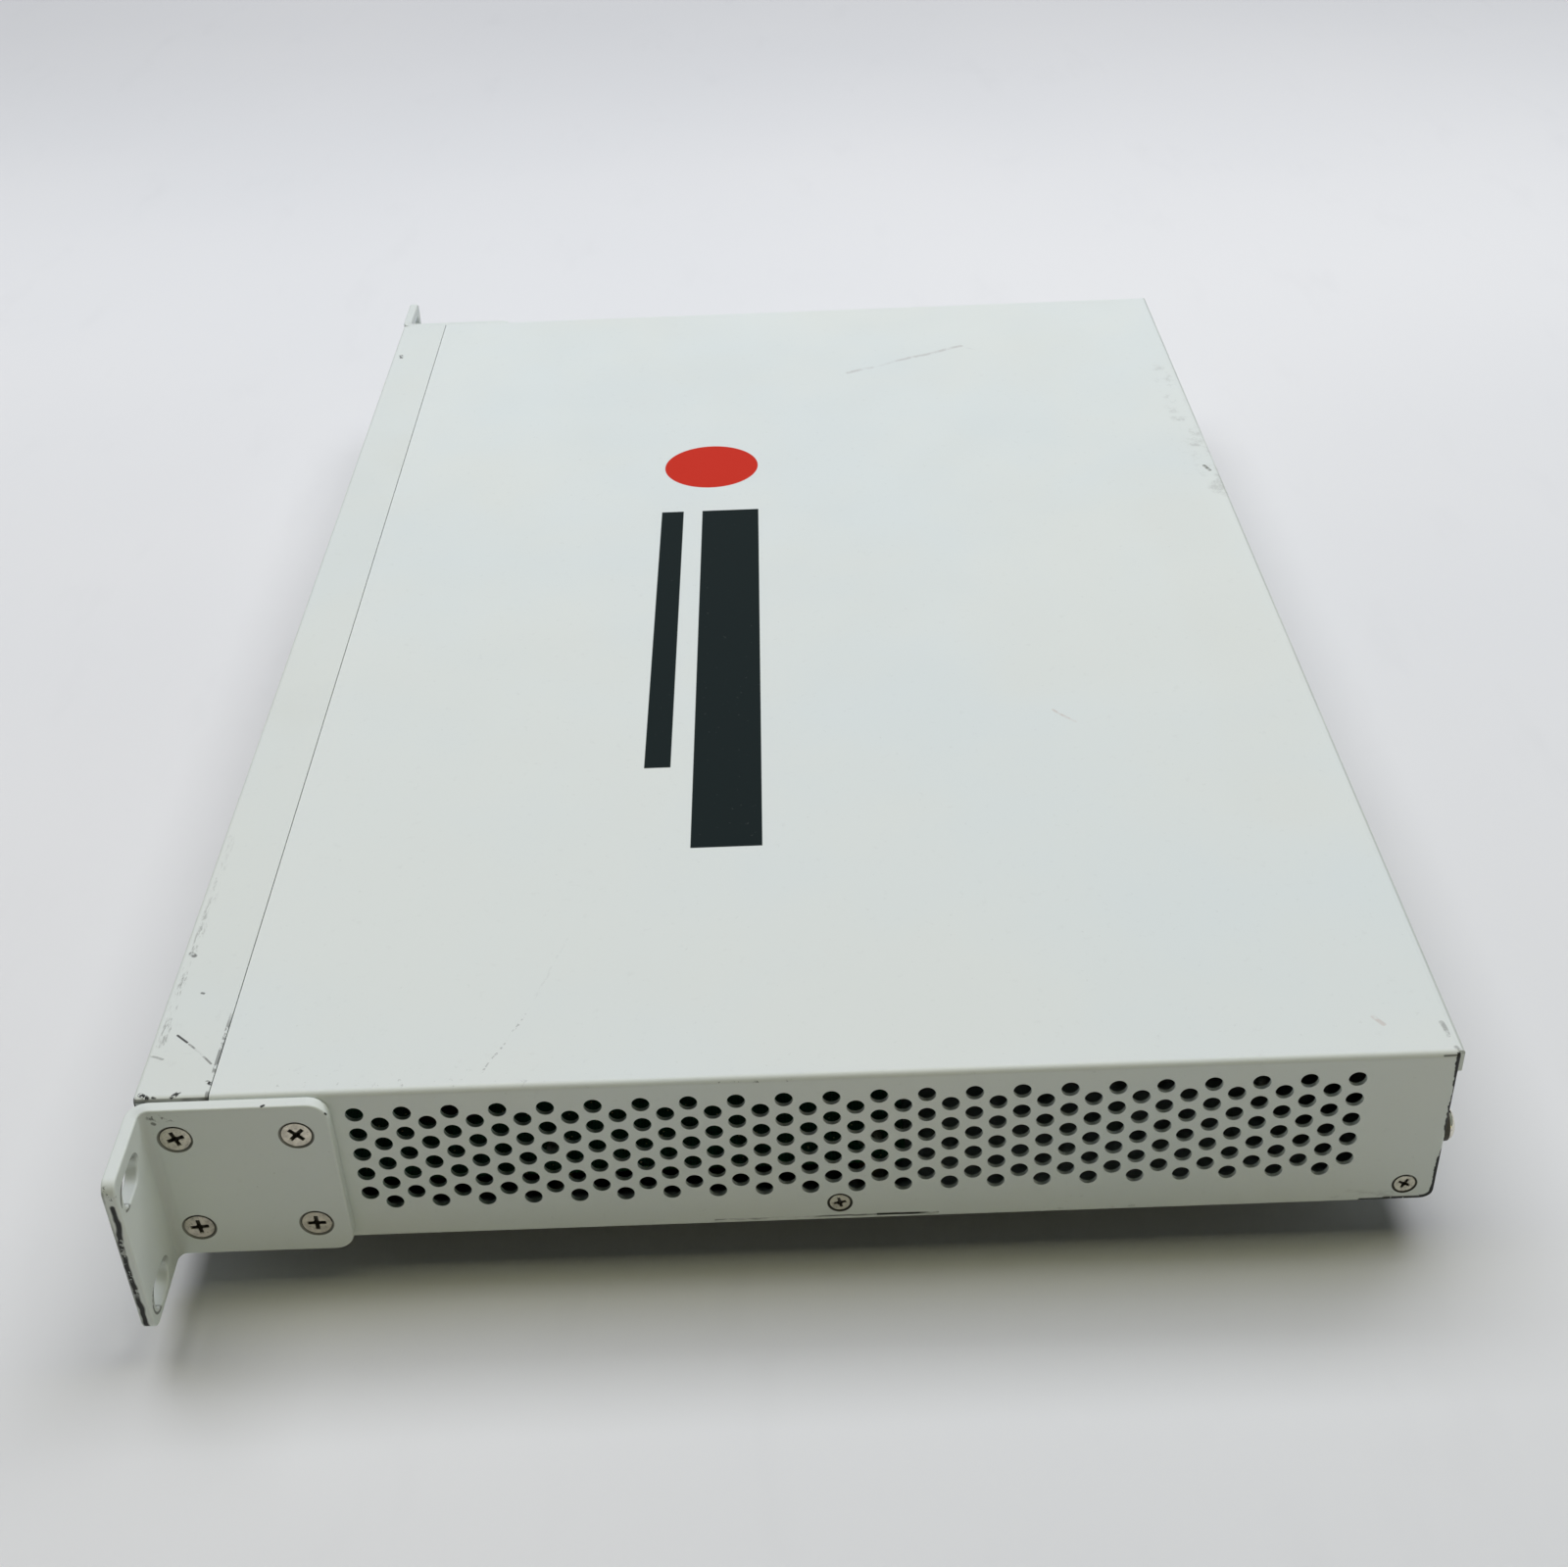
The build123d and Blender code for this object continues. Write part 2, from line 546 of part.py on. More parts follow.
# ---- Front ports ---------------------------------------------------------------------------
def jack_centres(x, columns, rows):
    """Middle of each jack's mouth: (x, z)."""
    places = []
    for row in range(rows):
        z = BOARD_TOP + SHIELD + JACK_HEIGHT * (row + 0.5)
        for column in range(columns):
            places.append((x + (column - (columns - 1) / 2) * JACK_PITCH, z, row))
    return places


def make_jack_group(x, columns, rows):
    """Moulded body, metal shield and contacts of a group of modular jacks."""
    half = columns * JACK_PITCH / 2 + 1 - SHIELD
    top = BOARD_TOP + SHIELD + rows * JACK_HEIGHT
    rear = JACK_FRONT + JACK_DEPTH
    body = block(x - half, x + half, JACK_FRONT + 0.5, rear, BOARD_TOP, top)
    shield = block(x - half - SHIELD, x + half + SHIELD, JACK_FRONT, rear + SHIELD, BOARD_TOP, top + SHIELD)
    shield -= block(x - half, x + half, JACK_FRONT + 0.5, rear, BOARD_TOP - 1, top)
    mouths = []
    contacts = []
    for jx, jz, row in jack_centres(x, columns, rows):
        low = jz - JACK_OPEN_H / 2
        mouth = block(jx - JACK_OPEN_W / 2, jx + JACK_OPEN_W / 2, -1, 17, low, low + JACK_OPEN_H)
        up = 1 if row == rows - 1 else -1
        latch = centred(jx, 4, jz + up * (JACK_OPEN_H / 2 + 0.9) - 1.1, 5.8, 10, 2.2)
        mouths += [mouth, latch]
        # eight sprung wires run back along the wall away from the latch
        for i in range(8):
            wire = Pos(jx + (i - 3.5) * 1.02, 11.2, jz - up * 3.0) * Rot(up * 6, 0, 0) * Box(0.36, 11, 0.3)
            contacts.append(wire)
    return body - mouths, shield - mouths, contacts


def make_usb():
    """A stacked pair of USB sockets: one shell with tongues inside."""
    shell = block(USB_X - 7, USB_X + 7, JACK_FRONT, 18, BOARD_TOP, BOARD_TOP + 15.6)
    tongues = []
    for z in (BOARD_TOP + 4.1, BOARD_TOP + 11.7):
        shell -= block(USB_X - 6.4, USB_X + 6.4, -1, 15, z - 2.6, z + 2.6)
        tongues.append(block(USB_X - 5.6, USB_X + 5.6, JACK_FRONT + 1, 15, z + 0.1, z + 1.9))
    return shell, tongues


def make_sfp():
    half = SFP_COUNT * SFP_PITCH / 2 + SFP_WALL / 2
    cage = block(SFP_X - half, SFP_X + half, JACK_FRONT, SFP_DEPTH, BOARD_TOP, BOARD_TOP + SFP_HEIGHT)
    connectors = []
    for x in sfp_led_places():
        inner = (SFP_PITCH - SFP_WALL) / 2
        cage -= block(x - inner, x + inner, -1, SFP_DEPTH - SFP_WALL, BOARD_TOP + SFP_WALL,
                      BOARD_TOP + SFP_HEIGHT - SFP_WALL)
        cage -= block(x - 3, x + 3, SFP_DEPTH - 12, SFP_DEPTH - 6, BOARD_TOP + SFP_HEIGHT - 1,
                      BOARD_TOP + SFP_HEIGHT + 1)
        plug = centred(x, 41.0, BOARD_TOP + SFP_WALL, 11.5, 8, 5.4)
        connectors.append(plug - centred(x, 38.0, BOARD_TOP + SFP_WALL + 2, 9.6, 6, 1.5))
    return cage, connectors


def make_light_pipes():
    pipes = []
    for x in LED_X:
        for z in LED_Z:
            pipes.append(rod_y(x, 0.1, 9.0, z, 1.1))
    for x in sfp_led_places():
        pipes.append(rod_y(x, 0.1, 9.0, 24.0, 1.1))
    return pipes


def make_light_pipe_holder():
    holder = block(LED_X[0] - 4, LED_X[-1] + 4, 4.2, 8.0, BOARD_TOP, LED_Z[-1] + 4)
    holder -= [rod_y(x, 3, 9, z, 1.15) for x in LED_X for z in LED_Z]
    holder_sfp = block(SFP_X - 28, SFP_X + 28, 4.2, 8.0, BOARD_TOP + SFP_HEIGHT + 0.2, 27.0)
    holder_sfp -= [rod_y(x, 3, 9, 24.0, 1.15) for x in sfp_led_places()]
    return holder, holder_sfp


RESET_TRAVEL = 0.5
RESET_Z = BOARD_TOP + 4


def make_reset():
    """Tactile switch on the board behind the pinhole; the button slides in its bore."""
    body = block(RESET_X - 3, RESET_X + 3, 6.0, 12.0, BOARD_TOP, BOARD_TOP + 7)
    body -= rod_y(RESET_X, 5, 9.8, RESET_Z, 1.75 + 0.06)
    button = rod_y(RESET_X, 4.2, 9.2, RESET_Z, 1.75)
    button = fillet(button.edges().group_by(Axis.Y)[0], 0.4)
    return body, button


# ---- Power supply --------------------------------------------------------------------------
SUPPLY_X = (-206.0, -78.0)
SUPPLY_Y = (172.0, 250.0)


def supply_standoff_places():
    return [(x, y) for x in (SUPPLY_X[0] + 6, SUPPLY_X[1] - 6) for y in (SUPPLY_Y[0] + 6, SUPPLY_Y[1] - 6)]


def make_supply():
    x0, x1 = SUPPLY_X
    y0, y1 = SUPPLY_Y
    z = BOARD_TOP
    board = block(x0, x1, y0, y1, BOARD_BOTTOM, BOARD_TOP)
    board -= [rod_z(x, y, 0, HEIGHT, 1.6) for x, y in supply_standoff_places()]
    sheet = block(x0 - 1, x1 + 1, y0 - 1, y1 + 1, BASE_SHEET + 0.02, BASE_SHEET + 0.42)
    sheet -= [rod_z(x, y, 0, 5, 4.0) for x, y in supply_standoff_places()]
    core = centred(-138, 214, z, 30, 34, 26) - block(-149, -127, 190, 240, z + 4, z + 22)
    core += centred(-138, 214, z + 4, 10, 34, 18)
    winding = centred(-138, 214, z + 4.2, 21.4, 40, 17.6) - centred(-138, 214, z, 10.4, 34.4, 24)
    bulk = rod_y(-176, 190, 222, z + 10, 9.5)
    bulk = fillet(bulk.edges().group_by(Axis.Y)[-1], 1.0)
    small = [rod_z(-104 + dx, 190 + dy, z, z + 18, 5.0) for dx in (0, 12) for dy in (0, 12)]
    spreaders = []
    for x, side in ((-156.5, -1), (-117.0, 1)):
        plate = block(x - 1.2, x + 1.2, 182, 242, z, z + 24)
        fold = Pos(x + side * 3, 212, z + 23) * Box(8.4, 60, 2)
        spreaders.append(plate + fold)
    choke = rod_z(-186, 234, z, z + 14, 9.0) - rod_z(-186, 234, z + 1.5, z + 15, 4.0)
    return board, sheet, core, winding, [bulk] + small, spreaders, choke


def make_inlet():
    """Three-pin appliance inlet held by two screws through its flange."""
    y = REAR_WALL_OUT
    flange = block(INLET_X - 25, INLET_X + 25, y, y + 2.6, INLET_Z - 11, INLET_Z + 11)
    flange = fillet(flange.edges().filter_by(Axis.Y), 4.0)
    shell = block(INLET_X - 13.6, INLET_X + 13.6, y - 17, y + 2.6, INLET_Z - 10, INLET_Z + 10)
    body = flange + shell
    cavity = block(INLET_X - 12.2, INLET_X + 12.2, y - 14, y + 4, INLET_Z - 8.2, INLET_Z + 8.2)
    lower = edges_at(cavity, Axis.Y, lambda c: c.Z < INLET_Z)
    body -= chamfer(lower, 4.0)
    for dx in (-INLET_SCREW_SPACING / 2, INLET_SCREW_SPACING / 2):
        hole = rod_y(INLET_X + dx, y - 1, y + 4, INLET_Z, 1.7)
        sink = Pos(INLET_X + dx, y + 1.7, INLET_Z) * Rot(-90, 0, 0) * Cone(1.71, 3.51, 1.8)
        body -= [hole, sink]
    pins = []
    for dx, dz, wide, tall in ((0, 3.6, 2.0, 4.0), (-7.0, -1.0, 2.0, 4.0), (7.0, -1.0, 2.0, 4.0)):
        pin = block(INLET_X + dx - wide / 2, INLET_X + dx + wide / 2, y - 24, y - 0.5,
                    INLET_Z + dz - tall / 2, INLET_Z + dz + tall / 2)
        body -= pin
        pins.append(pin)
    screw = Rot(-90, 0, 0) * countersunk_screw(6.2, 3.0, 7.0, 0.25, 35.0)
    screws = [Pos(INLET_X + dx, y + 2.45, INLET_Z) * screw for dx in (-20, 20)]
    return body, pins, screws


def make_rocker_switch():
    """Switch housing snapped into the rear wall, and its rocker, resting with one end proud."""
    y = REAR_WALL_OUT
    flange = block(SWITCH_X - 7.8, SWITCH_X + 7.8, y, y + 1.8, SWITCH_Z - 11.2, SWITCH_Z + 11.2)
    flange = fillet(flange.edges().filter_by(Axis.Y), 1.2)
    shell = block(SWITCH_X - 6.3, SWITCH_X + 6.3, y - 15, y + 1.8, SWITCH_Z - 9.6, SWITCH_Z + 9.6)
    housing = flange + shell
    housing -= block(SWITCH_X - 5.2, SWITCH_X + 5.2, y - 9, y + 3, SWITCH_Z - 8.75, SWITCH_Z + 8.75)
    housing -= rod_x(SWITCH_X - 6.0, SWITCH_X + 6.0, ROCKER_PIVOT_Y, SWITCH_Z, 1.05)
    tabs = [block(SWITCH_X - 2.4, SWITCH_X + 2.4, y - 23, y - 15, SWITCH_Z + dz - 0.4, SWITCH_Z + dz + 0.4)
            for dz in (-6, 0)]
    outline = Polyline((-ROCKER_HALF, ROCKER_TIP), (0, ROCKER_TIP * 0.42), (ROCKER_HALF, ROCKER_TIP),
                       (ROCKER_HALF, -1.2), (3.0, -6.0), (-3.0, -6.0), (-ROCKER_HALF, -1.2), close=True)
    half = 4.95
    rocker = Pos(half, 0, 0) * Rot(0, -90, 0) * extrude(make_face(outline), 2 * half)
    rocker += rod_x(-5.9, 5.9, 0, 0, 1.0)
    rocker = Pos(SWITCH_X, ROCKER_PIVOT_Y, SWITCH_Z) * Rot(ROCKER_TILT, 0, 0) * rocker
    return housing, tabs, rocker


# ---- Fans ----------------------------------------------------------------------------------
HUB_RADIUS = 11.0
SHAFT_RADIUS = 1.0


def make_fan_frame(x):
    """Square frame with a motor mount on three arms at the panel side."""
    half = FAN_SIZE / 2
    y0 = FAN_REAR - FAN_DEPTH
    frame = block(x - half, x + half, y0, FAN_REAR, FAN_Z - half, FAN_Z + half)
    frame = fillet(frame.edges().filter_by(Axis.Y), 3.0)
    frame -= rod_y(x, y0 - 1, FAN_REAR + 1, FAN_Z, FAN_BORE)
    # the outside is waisted between its two mounting flanges
    for side in (-1, 1):
        waist = Pos(x + side * half, (y0 + FAN_REAR) / 2, FAN_Z) * Box(1.6, FAN_DEPTH - 7, 22)
        frame -= waist
    for dx, dz in corners(FAN_SCREW_PITCH, FAN_SCREW_PITCH):
        frame -= rod_y(x + dx, y0 - 1, FAN_REAR + 1, FAN_Z + dz, 1.8)
    mount = rod_y(x, FAN_REAR - 2.4, FAN_REAR, FAN_Z, HUB_RADIUS)
    for angle in (30, 150, 270):
        arm = Pos(x, FAN_REAR - 1.1, FAN_Z) * Rot(0, angle, 0) * Pos(14.6, 0, 0) * Box(9.4, 2.2, 2.4)
        mount += arm
    mount += rod_y(x, FAN_REAR - 12, FAN_REAR - 2.4, FAN_Z, 2.6)
    frame += mount
    return frame - rod_y(x, FAN_REAR - 13, FAN_REAR - 1.0, FAN_Z, SHAFT_RADIUS + 0.05)


def make_fan_rotor(x, start):
    """Hub cup, shaft and swept blades."""
    y0 = FAN_REAR - FAN_DEPTH + 1.2
    y1 = FAN_REAR - 3.4
    hub = rod_y(0, y0, y1, 0, HUB_RADIUS)
    hub = fillet(hub.edges().group_by(Axis.Y)[0], 1.2)
    hub -= rod_y(0, y0 + 1.6, y1 + 1, 0, HUB_RADIUS - 1.2)
    hub += rod_y(0, y0 + 1, FAN_REAR - 1.2, 0, SHAFT_RADIUS)
    middle = (y0 + y1) / 2
    for i in range(FAN_BLADES):
        sections = []
        for radius, pitch_angle, chord in ((HUB_RADIUS - 0.6, 52.0, 12.5), (FAN_BORE, 36.0, 14.5)):
            section = Plane((radius, middle, 0), x_dir=(0, 1, 0), z_dir=(1, 0, 0))
            sections.append(section * Rot(0, 0, 90 - pitch_angle) * Rectangle(chord, 0.9))
        blade = loft(sections) & rod_y(0, y0, y1, 0, FAN_BORE - 0.6)
        hub += Rot(0, start + i * 360 / FAN_BLADES, 0) * blade
    return Pos(x, 0, FAN_Z) * hub


def make_finger_guard(x):
    """Rings of wire on two crossing arms, over the hole in the rear wall."""
    wire = 0.7
    y = REAR_WALL_OUT + wire
    guard = None
    for radius in (7.0, 12.0, 17.0):
        ring = Pos(x, y + wire * 1.6, FAN_Z) * Rot(90, 0, 0) * Torus(radius, wire)
        guard = ring if guard is None else guard + ring
    reach = FAN_SCREW_PITCH / math.sqrt(2)
    for angle in (45, -45):
        arm = Pos(x, y, FAN_Z) * Rot(0, angle, 0) * rod_x(-reach + 2.6, reach - 2.6, 0, 0, wire)
        guard += arm
    for dx, dz in corners(FAN_SCREW_PITCH, FAN_SCREW_PITCH):
        guard += Pos(x + dx, y, FAN_Z + dz) * Rot(90, 0, 0) * Torus(2.7, wire)
    return guard


def make_fan_screws():
    screw = Rot(-90, 0, 0) * pan_screw(6.0, 1.2, 3.2, 9.0, 15.0)
    places = [(x + dx, FAN_Z + dz) for x in FAN_X for dx, dz in corners(FAN_SCREW_PITCH, FAN_SCREW_PITCH)]
    return [Pos(x, REAR_WALL_OUT + 1.4, z) * screw for x, z in places]


# ---- Wiring --------------------------------------------------------------------------------
def wire_along(points, radius):
    """A round wire: straight runs joined by arcs as large as the runs allow."""
    corners_at = [Vector(*p) for p in points]
    radii = []
    for before, at, after in zip(corners_at, corners_at[1:], corners_at[2:]):
        shorter = min((at - before).length, (after - at).length)
        turn = math.radians((at - before).get_angle(after - at))
        radii.append(0.45 * shorter / math.tan(turn / 2))
    path = FilletPolyline(*points, radius=radii)
    return sweep(Plane(path @ 0, z_dir=path % 0) * Circle(radius), path=path)


def make_inlet_leads():
    """Live, neutral and earth from the inlet's tags to the supply."""
    leads = []
    y = REAR_WALL_OUT - 24.0
    for dx, dz, end_x in ((-7.0, -1.0, -194.0), (7.0, -1.0, -168.0), (0.0, 3.6, -181.0)):
        x = INLET_X + dx
        z = INLET_Z + dz
        start = [(x, y, z), (x, y - 7, z)]
        leads.append(wire_along(start + [(end_x, y - 14, z - 3), (end_x, y - 14, BOARD_TOP)], 1.0))
    return leads


def make_supply_cable():
    """Flat bundle from the supply's edge to the header on the main board."""
    x, y = POWER_HEADER
    wires = []
    for i in range(6):
        px = x - 10 + i * 3.4
        start = -84.0 - i * 2.2
        wires.append(wire_along([(start, 206 + i * 2.4, BOARD_TOP), (start, 206 + i * 2.4, BOARD_TOP + 12),
                                 (px, y + 24, BOARD_TOP + 20), (px, y, BOARD_TOP + 18),
                                 (px, y, BOARD_TOP + 2.1)], 0.85))
    return wires


def make_fan_leads():
    leads = []
    for x in FAN_X:
        side = x - FAN_SIZE / 2 + 5
        y = FAN_REAR - FAN_DEPTH
        leads.append(wire_along([(side, y, 5.0), (side, y - 14, 4.6), (side - 4, y - 50, 5.2),
                                 (side - 4, y - 84, 11.0), (side - 4, 162, BOARD_TOP + 9),
                                 (side - 4, 162, BOARD_TOP + 3)], 0.9))
    return leads


def make_fan_headers():
    return [centred(x - FAN_SIZE / 2 + 1, 162.0, BOARD_TOP, 7.5, 5.5, 3.0) for x in FAN_X]


# ---- Write every sub-part ------------------------------------------------------------------
def build_enclosure():
    save("top_cover", make_top_cover())
    save("front_bezel", make_front_bezel())
    save("chassis_base", make_chassis_base())
    feet, foot_screws = make_feet()
    save("rubber_feet", *feet)
    save("foot_screws", *foot_screws)
    ear = make_rack_ear()
    save("rack_ear_right", ear)
    save("rack_ear_left", mirrored(ear))
    save("ear_screws", *make_ear_screws())
    save("clinch_nuts", *make_clinch_nuts())
    save("cover_side_screws", *make_side_screws())
    save("cover_rear_screws", *make_rear_screws())


def build_electronics():
    save("main_board", make_main_board())
    storage_socket, storage, storage_chips, post, storage_screw = make_storage()
    places = standoff_places() + supply_standoff_places()
    save("board_standoffs", *standoffs_at(places), post)
    save("board_screws", *board_screws_at(places), storage_screw)
    chip, sink, screws = make_processor_parts()
    save("processor", chip)
    save("processor_heatsink", sink)
    save("heatsink_screws", *screws)
    save("heatsink_springs", *make_heatsink_springs())
    chip, sink = make_switch_chip_parts()
    save("switch_chip", chip)
    save("switch_heatsink", sink)
    memory_socket, memory, memory_chips = make_memory()
    save("memory_module", memory, *memory_chips)
    save("storage_module", storage, *storage_chips)
    cell, cell_holder = make_coin_cell()
    save("coin_cell", cell)
    headers = [make_power_header()] + make_fan_headers()
    save("board_sockets", memory_socket, storage_socket, cell_holder, *headers)
    save("board_capacitors", *make_board_capacitors())
    save("line_magnetics", *make_line_magnetics())


def build_ports():
    groups = [(f"lan_jacks_{name}", x, LAN_COLUMNS, 2) for name, x in LAN_BLOCKS]
    groups += [("management_jacks", MGMT_X, 1, 2), ("console_jack", CONSOLE_X, 1, 1)]
    shields = []
    contacts = []
    for name, x, columns, rows in groups:
        body, shield, wires = make_jack_group(x, columns, rows)
        save(name, body)
        shields.append(shield)
        contacts += wires
    save("jack_shields", *shields)
    save("jack_contacts", *contacts)
    shell, tongues = make_usb()
    save("usb_sockets", shell)
    cage, connectors = make_sfp()
    save("sfp_cage", cage)
    save("port_inserts", *tongues, *connectors)
    save("light_pipes", *make_light_pipes())
    save("light_pipe_holders", *make_light_pipe_holder())
    body, button = make_reset()
    save("reset_switch", body)
    save("reset_button", button)


def build_power():
    board, sheet, core, winding, cans, spreaders, choke = make_supply()
    save("supply_board", board)
    save("supply_insulator", sheet)
    save("transformer_core", core)
    save("transformer_winding", winding)
    save("supply_capacitors", *cans)
    save("supply_heat_spreaders", *spreaders)
    save("supply_choke", choke)
    body, pins, screws = make_inlet()
    save("mains_inlet", body)
    save("inlet_pins", *pins)
    save("inlet_screws", *screws)
    housing, tabs, rocker = make_rocker_switch()
    save("switch_housing", housing, *tabs)
    save("power_rocker", rocker)


def build_fans_and_wires():
    for number, x in enumerate(FAN_X, start=1):
        save(f"fan_frame_{number}", make_fan_frame(x))
        save(f"fan_rotor_{number}", make_fan_rotor(x, number * 17.0))
    save("finger_guards", *[make_finger_guard(x) for x in FAN_X])
    save("fan_screws", *make_fan_screws())
    save("wiring", *make_inlet_leads(), *make_supply_cable(), *make_fan_leads())


os.makedirs("parts", exist_ok=True)
build_enclosure()
build_electronics()
build_ports()
build_power()
build_fans_and_wires()
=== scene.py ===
import json
import math

import bpy
from mathutils import Matrix, Vector


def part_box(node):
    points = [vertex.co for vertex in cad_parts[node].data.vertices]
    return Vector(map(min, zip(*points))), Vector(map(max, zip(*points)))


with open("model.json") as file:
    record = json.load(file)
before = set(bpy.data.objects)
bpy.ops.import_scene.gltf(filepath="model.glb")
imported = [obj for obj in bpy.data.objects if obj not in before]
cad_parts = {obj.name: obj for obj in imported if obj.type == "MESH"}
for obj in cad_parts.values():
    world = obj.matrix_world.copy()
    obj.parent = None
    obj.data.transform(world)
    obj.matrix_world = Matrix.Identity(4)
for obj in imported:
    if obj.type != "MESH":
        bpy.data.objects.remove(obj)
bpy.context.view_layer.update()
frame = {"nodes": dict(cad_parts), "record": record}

# A one-rack-unit firewall appliance: the CAD pieces with their finishes, and the printed
# details that the CAD leaves out. Metres, in the frame of the CAD model.

MM = 0.001
nodes = frame["nodes"]
cover_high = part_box("top_cover")[1]
bezel_low, bezel_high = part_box("front_bezel")
ear_low, ear_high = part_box("rack_ear_right")
TOP = cover_high.z
FRONT = bezel_low.y
SIDE = cover_high.x
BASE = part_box("chassis_base")[0].z
REAR = FRONT + 287 * MM         # rear face of the cover's sides


def spot(x, y, z=44.0):
    """A place given in mm: across, back from the bezel's front, up from the base's underside."""
    return Vector((x * MM, FRONT + y * MM, BASE + z * MM))


def flank(y, z):
    """A place on the cover's right side, in mm: back and up."""
    return spot(216, y, z)


# ---- Camera --------------------------------------------------------------------------------
CAMERA_AT = Vector((0.54205, 0.00059, 0.35782))
CAMERA_AZIMUTH = 90.431         # 0 looks along +Y, 90 along -X
CAMERA_ELEVATION = 34.825
CAMERA_ROLL = -2.352
CAMERA_LENS = 47.02             # on a 36 mm sensor


def make_camera():
    data = bpy.data.cameras.new("camera")
    data.lens = CAMERA_LENS
    data.sensor_width = 36.0
    data.clip_start = 0.01
    data.clip_end = 50.0
    camera = bpy.data.objects.new("camera", data)
    bpy.context.scene.collection.objects.link(camera)
    azimuth = math.radians(CAMERA_AZIMUTH)
    elevation = math.radians(CAMERA_ELEVATION)
    forward = Vector((-math.sin(azimuth) * math.cos(elevation),
                      math.cos(azimuth) * math.cos(elevation),
                      -math.sin(elevation)))
    level = forward.to_track_quat("-Z", "Y").to_matrix().to_4x4()
    roll = Matrix.Rotation(math.radians(CAMERA_ROLL), 4, "Z")
    camera.matrix_world = Matrix.Translation(CAMERA_AT) @ level @ roll
    bpy.context.scene.camera = camera


# ---- Light and floor -----------------------------------------------------------------------
def area_light(name, at, aim, size, power, colour):
    data = bpy.data.lights.new(name, "AREA")
    data.shape = "RECTANGLE"
    data.size, data.size_y = size
    data.energy = power
    data.color = colour
    light = bpy.data.objects.new(name, data)
    bpy.context.scene.collection.objects.link(light)
    light.location = at
    if aim is not None:
        light.rotation_mode = "QUATERNION"
        light.rotation_quaternion = (Vector(aim) - Vector(at)).to_track_quat("-Z", "Y")


def make_lights():
    # three strips overhead, a panel on each hand, and two low warm strips on the photographed side
    area_light("ceiling_back", (-1.2, 0.1, 2.0), None, (0.8, 3.0), 38, (0.945, 0.96, 1.0))
    area_light("ceiling_middle", (-0.4, 0.1, 2.0), None, (0.8, 3.0), 21.8, (0.86, 0.87, 1.0))
    area_light("ceiling_warm", (0.0, 0.1, 2.0), None, (0.5, 3.0), 11.2, (1.0, 0.965, 0.60))
    area_light("wall_right", (0.3, 2.4, 0.9), (0, 0, 0.1), (3.0, 1.5), 5, (0.88, 1.0, 0.93))
    area_light("wall_left", (0, -2.4, 1.2), (0, 0, 0.1), (3.0, 1.6), 1.7, (0.9, 0.95, 1.0))
    area_light("warm_fill", (2.4, 0.1, 0.25), (0, 0, 0.05), (3.0, 0.4), 2.4, (1.0, 0.92, 0.33))
    area_light("warm_right", (1.9, 1.7, 0.22), (0.2, 0.1, 0.03), (1.0, 0.3), 2.6, (1.0, 0.90, 0.45))
    world = bpy.data.worlds.new("room")
    bpy.context.scene.world = world
    world.use_nodes = True
    sky = world.node_tree.nodes["Background"]
    sky.inputs["Color"].default_value = (1.0, 1.0, 0.92, 1)
    sky.inputs["Strength"].default_value = 0.01


def make_floor():
    mesh = bpy.data.meshes.new("floor")
    half = 4.0
    corners = [(-half, -half, 0), (half, -half, 0), (half, half, 0), (-half, half, 0)]
    mesh.from_pydata(corners, [], [(0, 1, 2, 3)])
    floor = bpy.data.objects.new("floor", mesh)
    bpy.context.scene.collection.objects.link(floor)
    s = Shader("floor_paper")
    x = s.axis("X")
    aside = s.math("ABSOLUTE", s.axis("Y"))
    cloud = s.noise(2.2, 3)
    fibre = s.noise(900, 2)
    crease = s.noise(34, 3, 0.6, stretch=Vector((0.35, 1.0, 1.0)))
    tint = s.mix(s.fit(cloud, 0.3, 0.7), (0.738, 0.748, 0.766), (0.768, 0.772, 0.784))
    tint = s.mix(s.fit(crease, 0.55, 0.8, 0.0, 0.06), tint, (0.45, 0.46, 0.48))
    # painted light: the floor is painted darker far behind and lighter near the camera to either side, for
    # how the lamps' light falls on it
    far = s.fit(x, -0.95, -0.30, 0.76, 1.0)
    near = s.math("ADD", s.both(s.fit(aside, 0.16, 0.36, 0.03, 0.13), s.fit(x, -0.2, 0.3)), 1.0)
    s.set("Base Color", s.vector("SCALE", tint, scale=s.both(far, near)))
    s.set("Roughness", 0.85)
    s.set("Specular IOR Level", 0.2)
    s.set("Normal", s.bump(fibre, 0.12, 0.1 * MM))
    floor.data.materials.append(s.material)


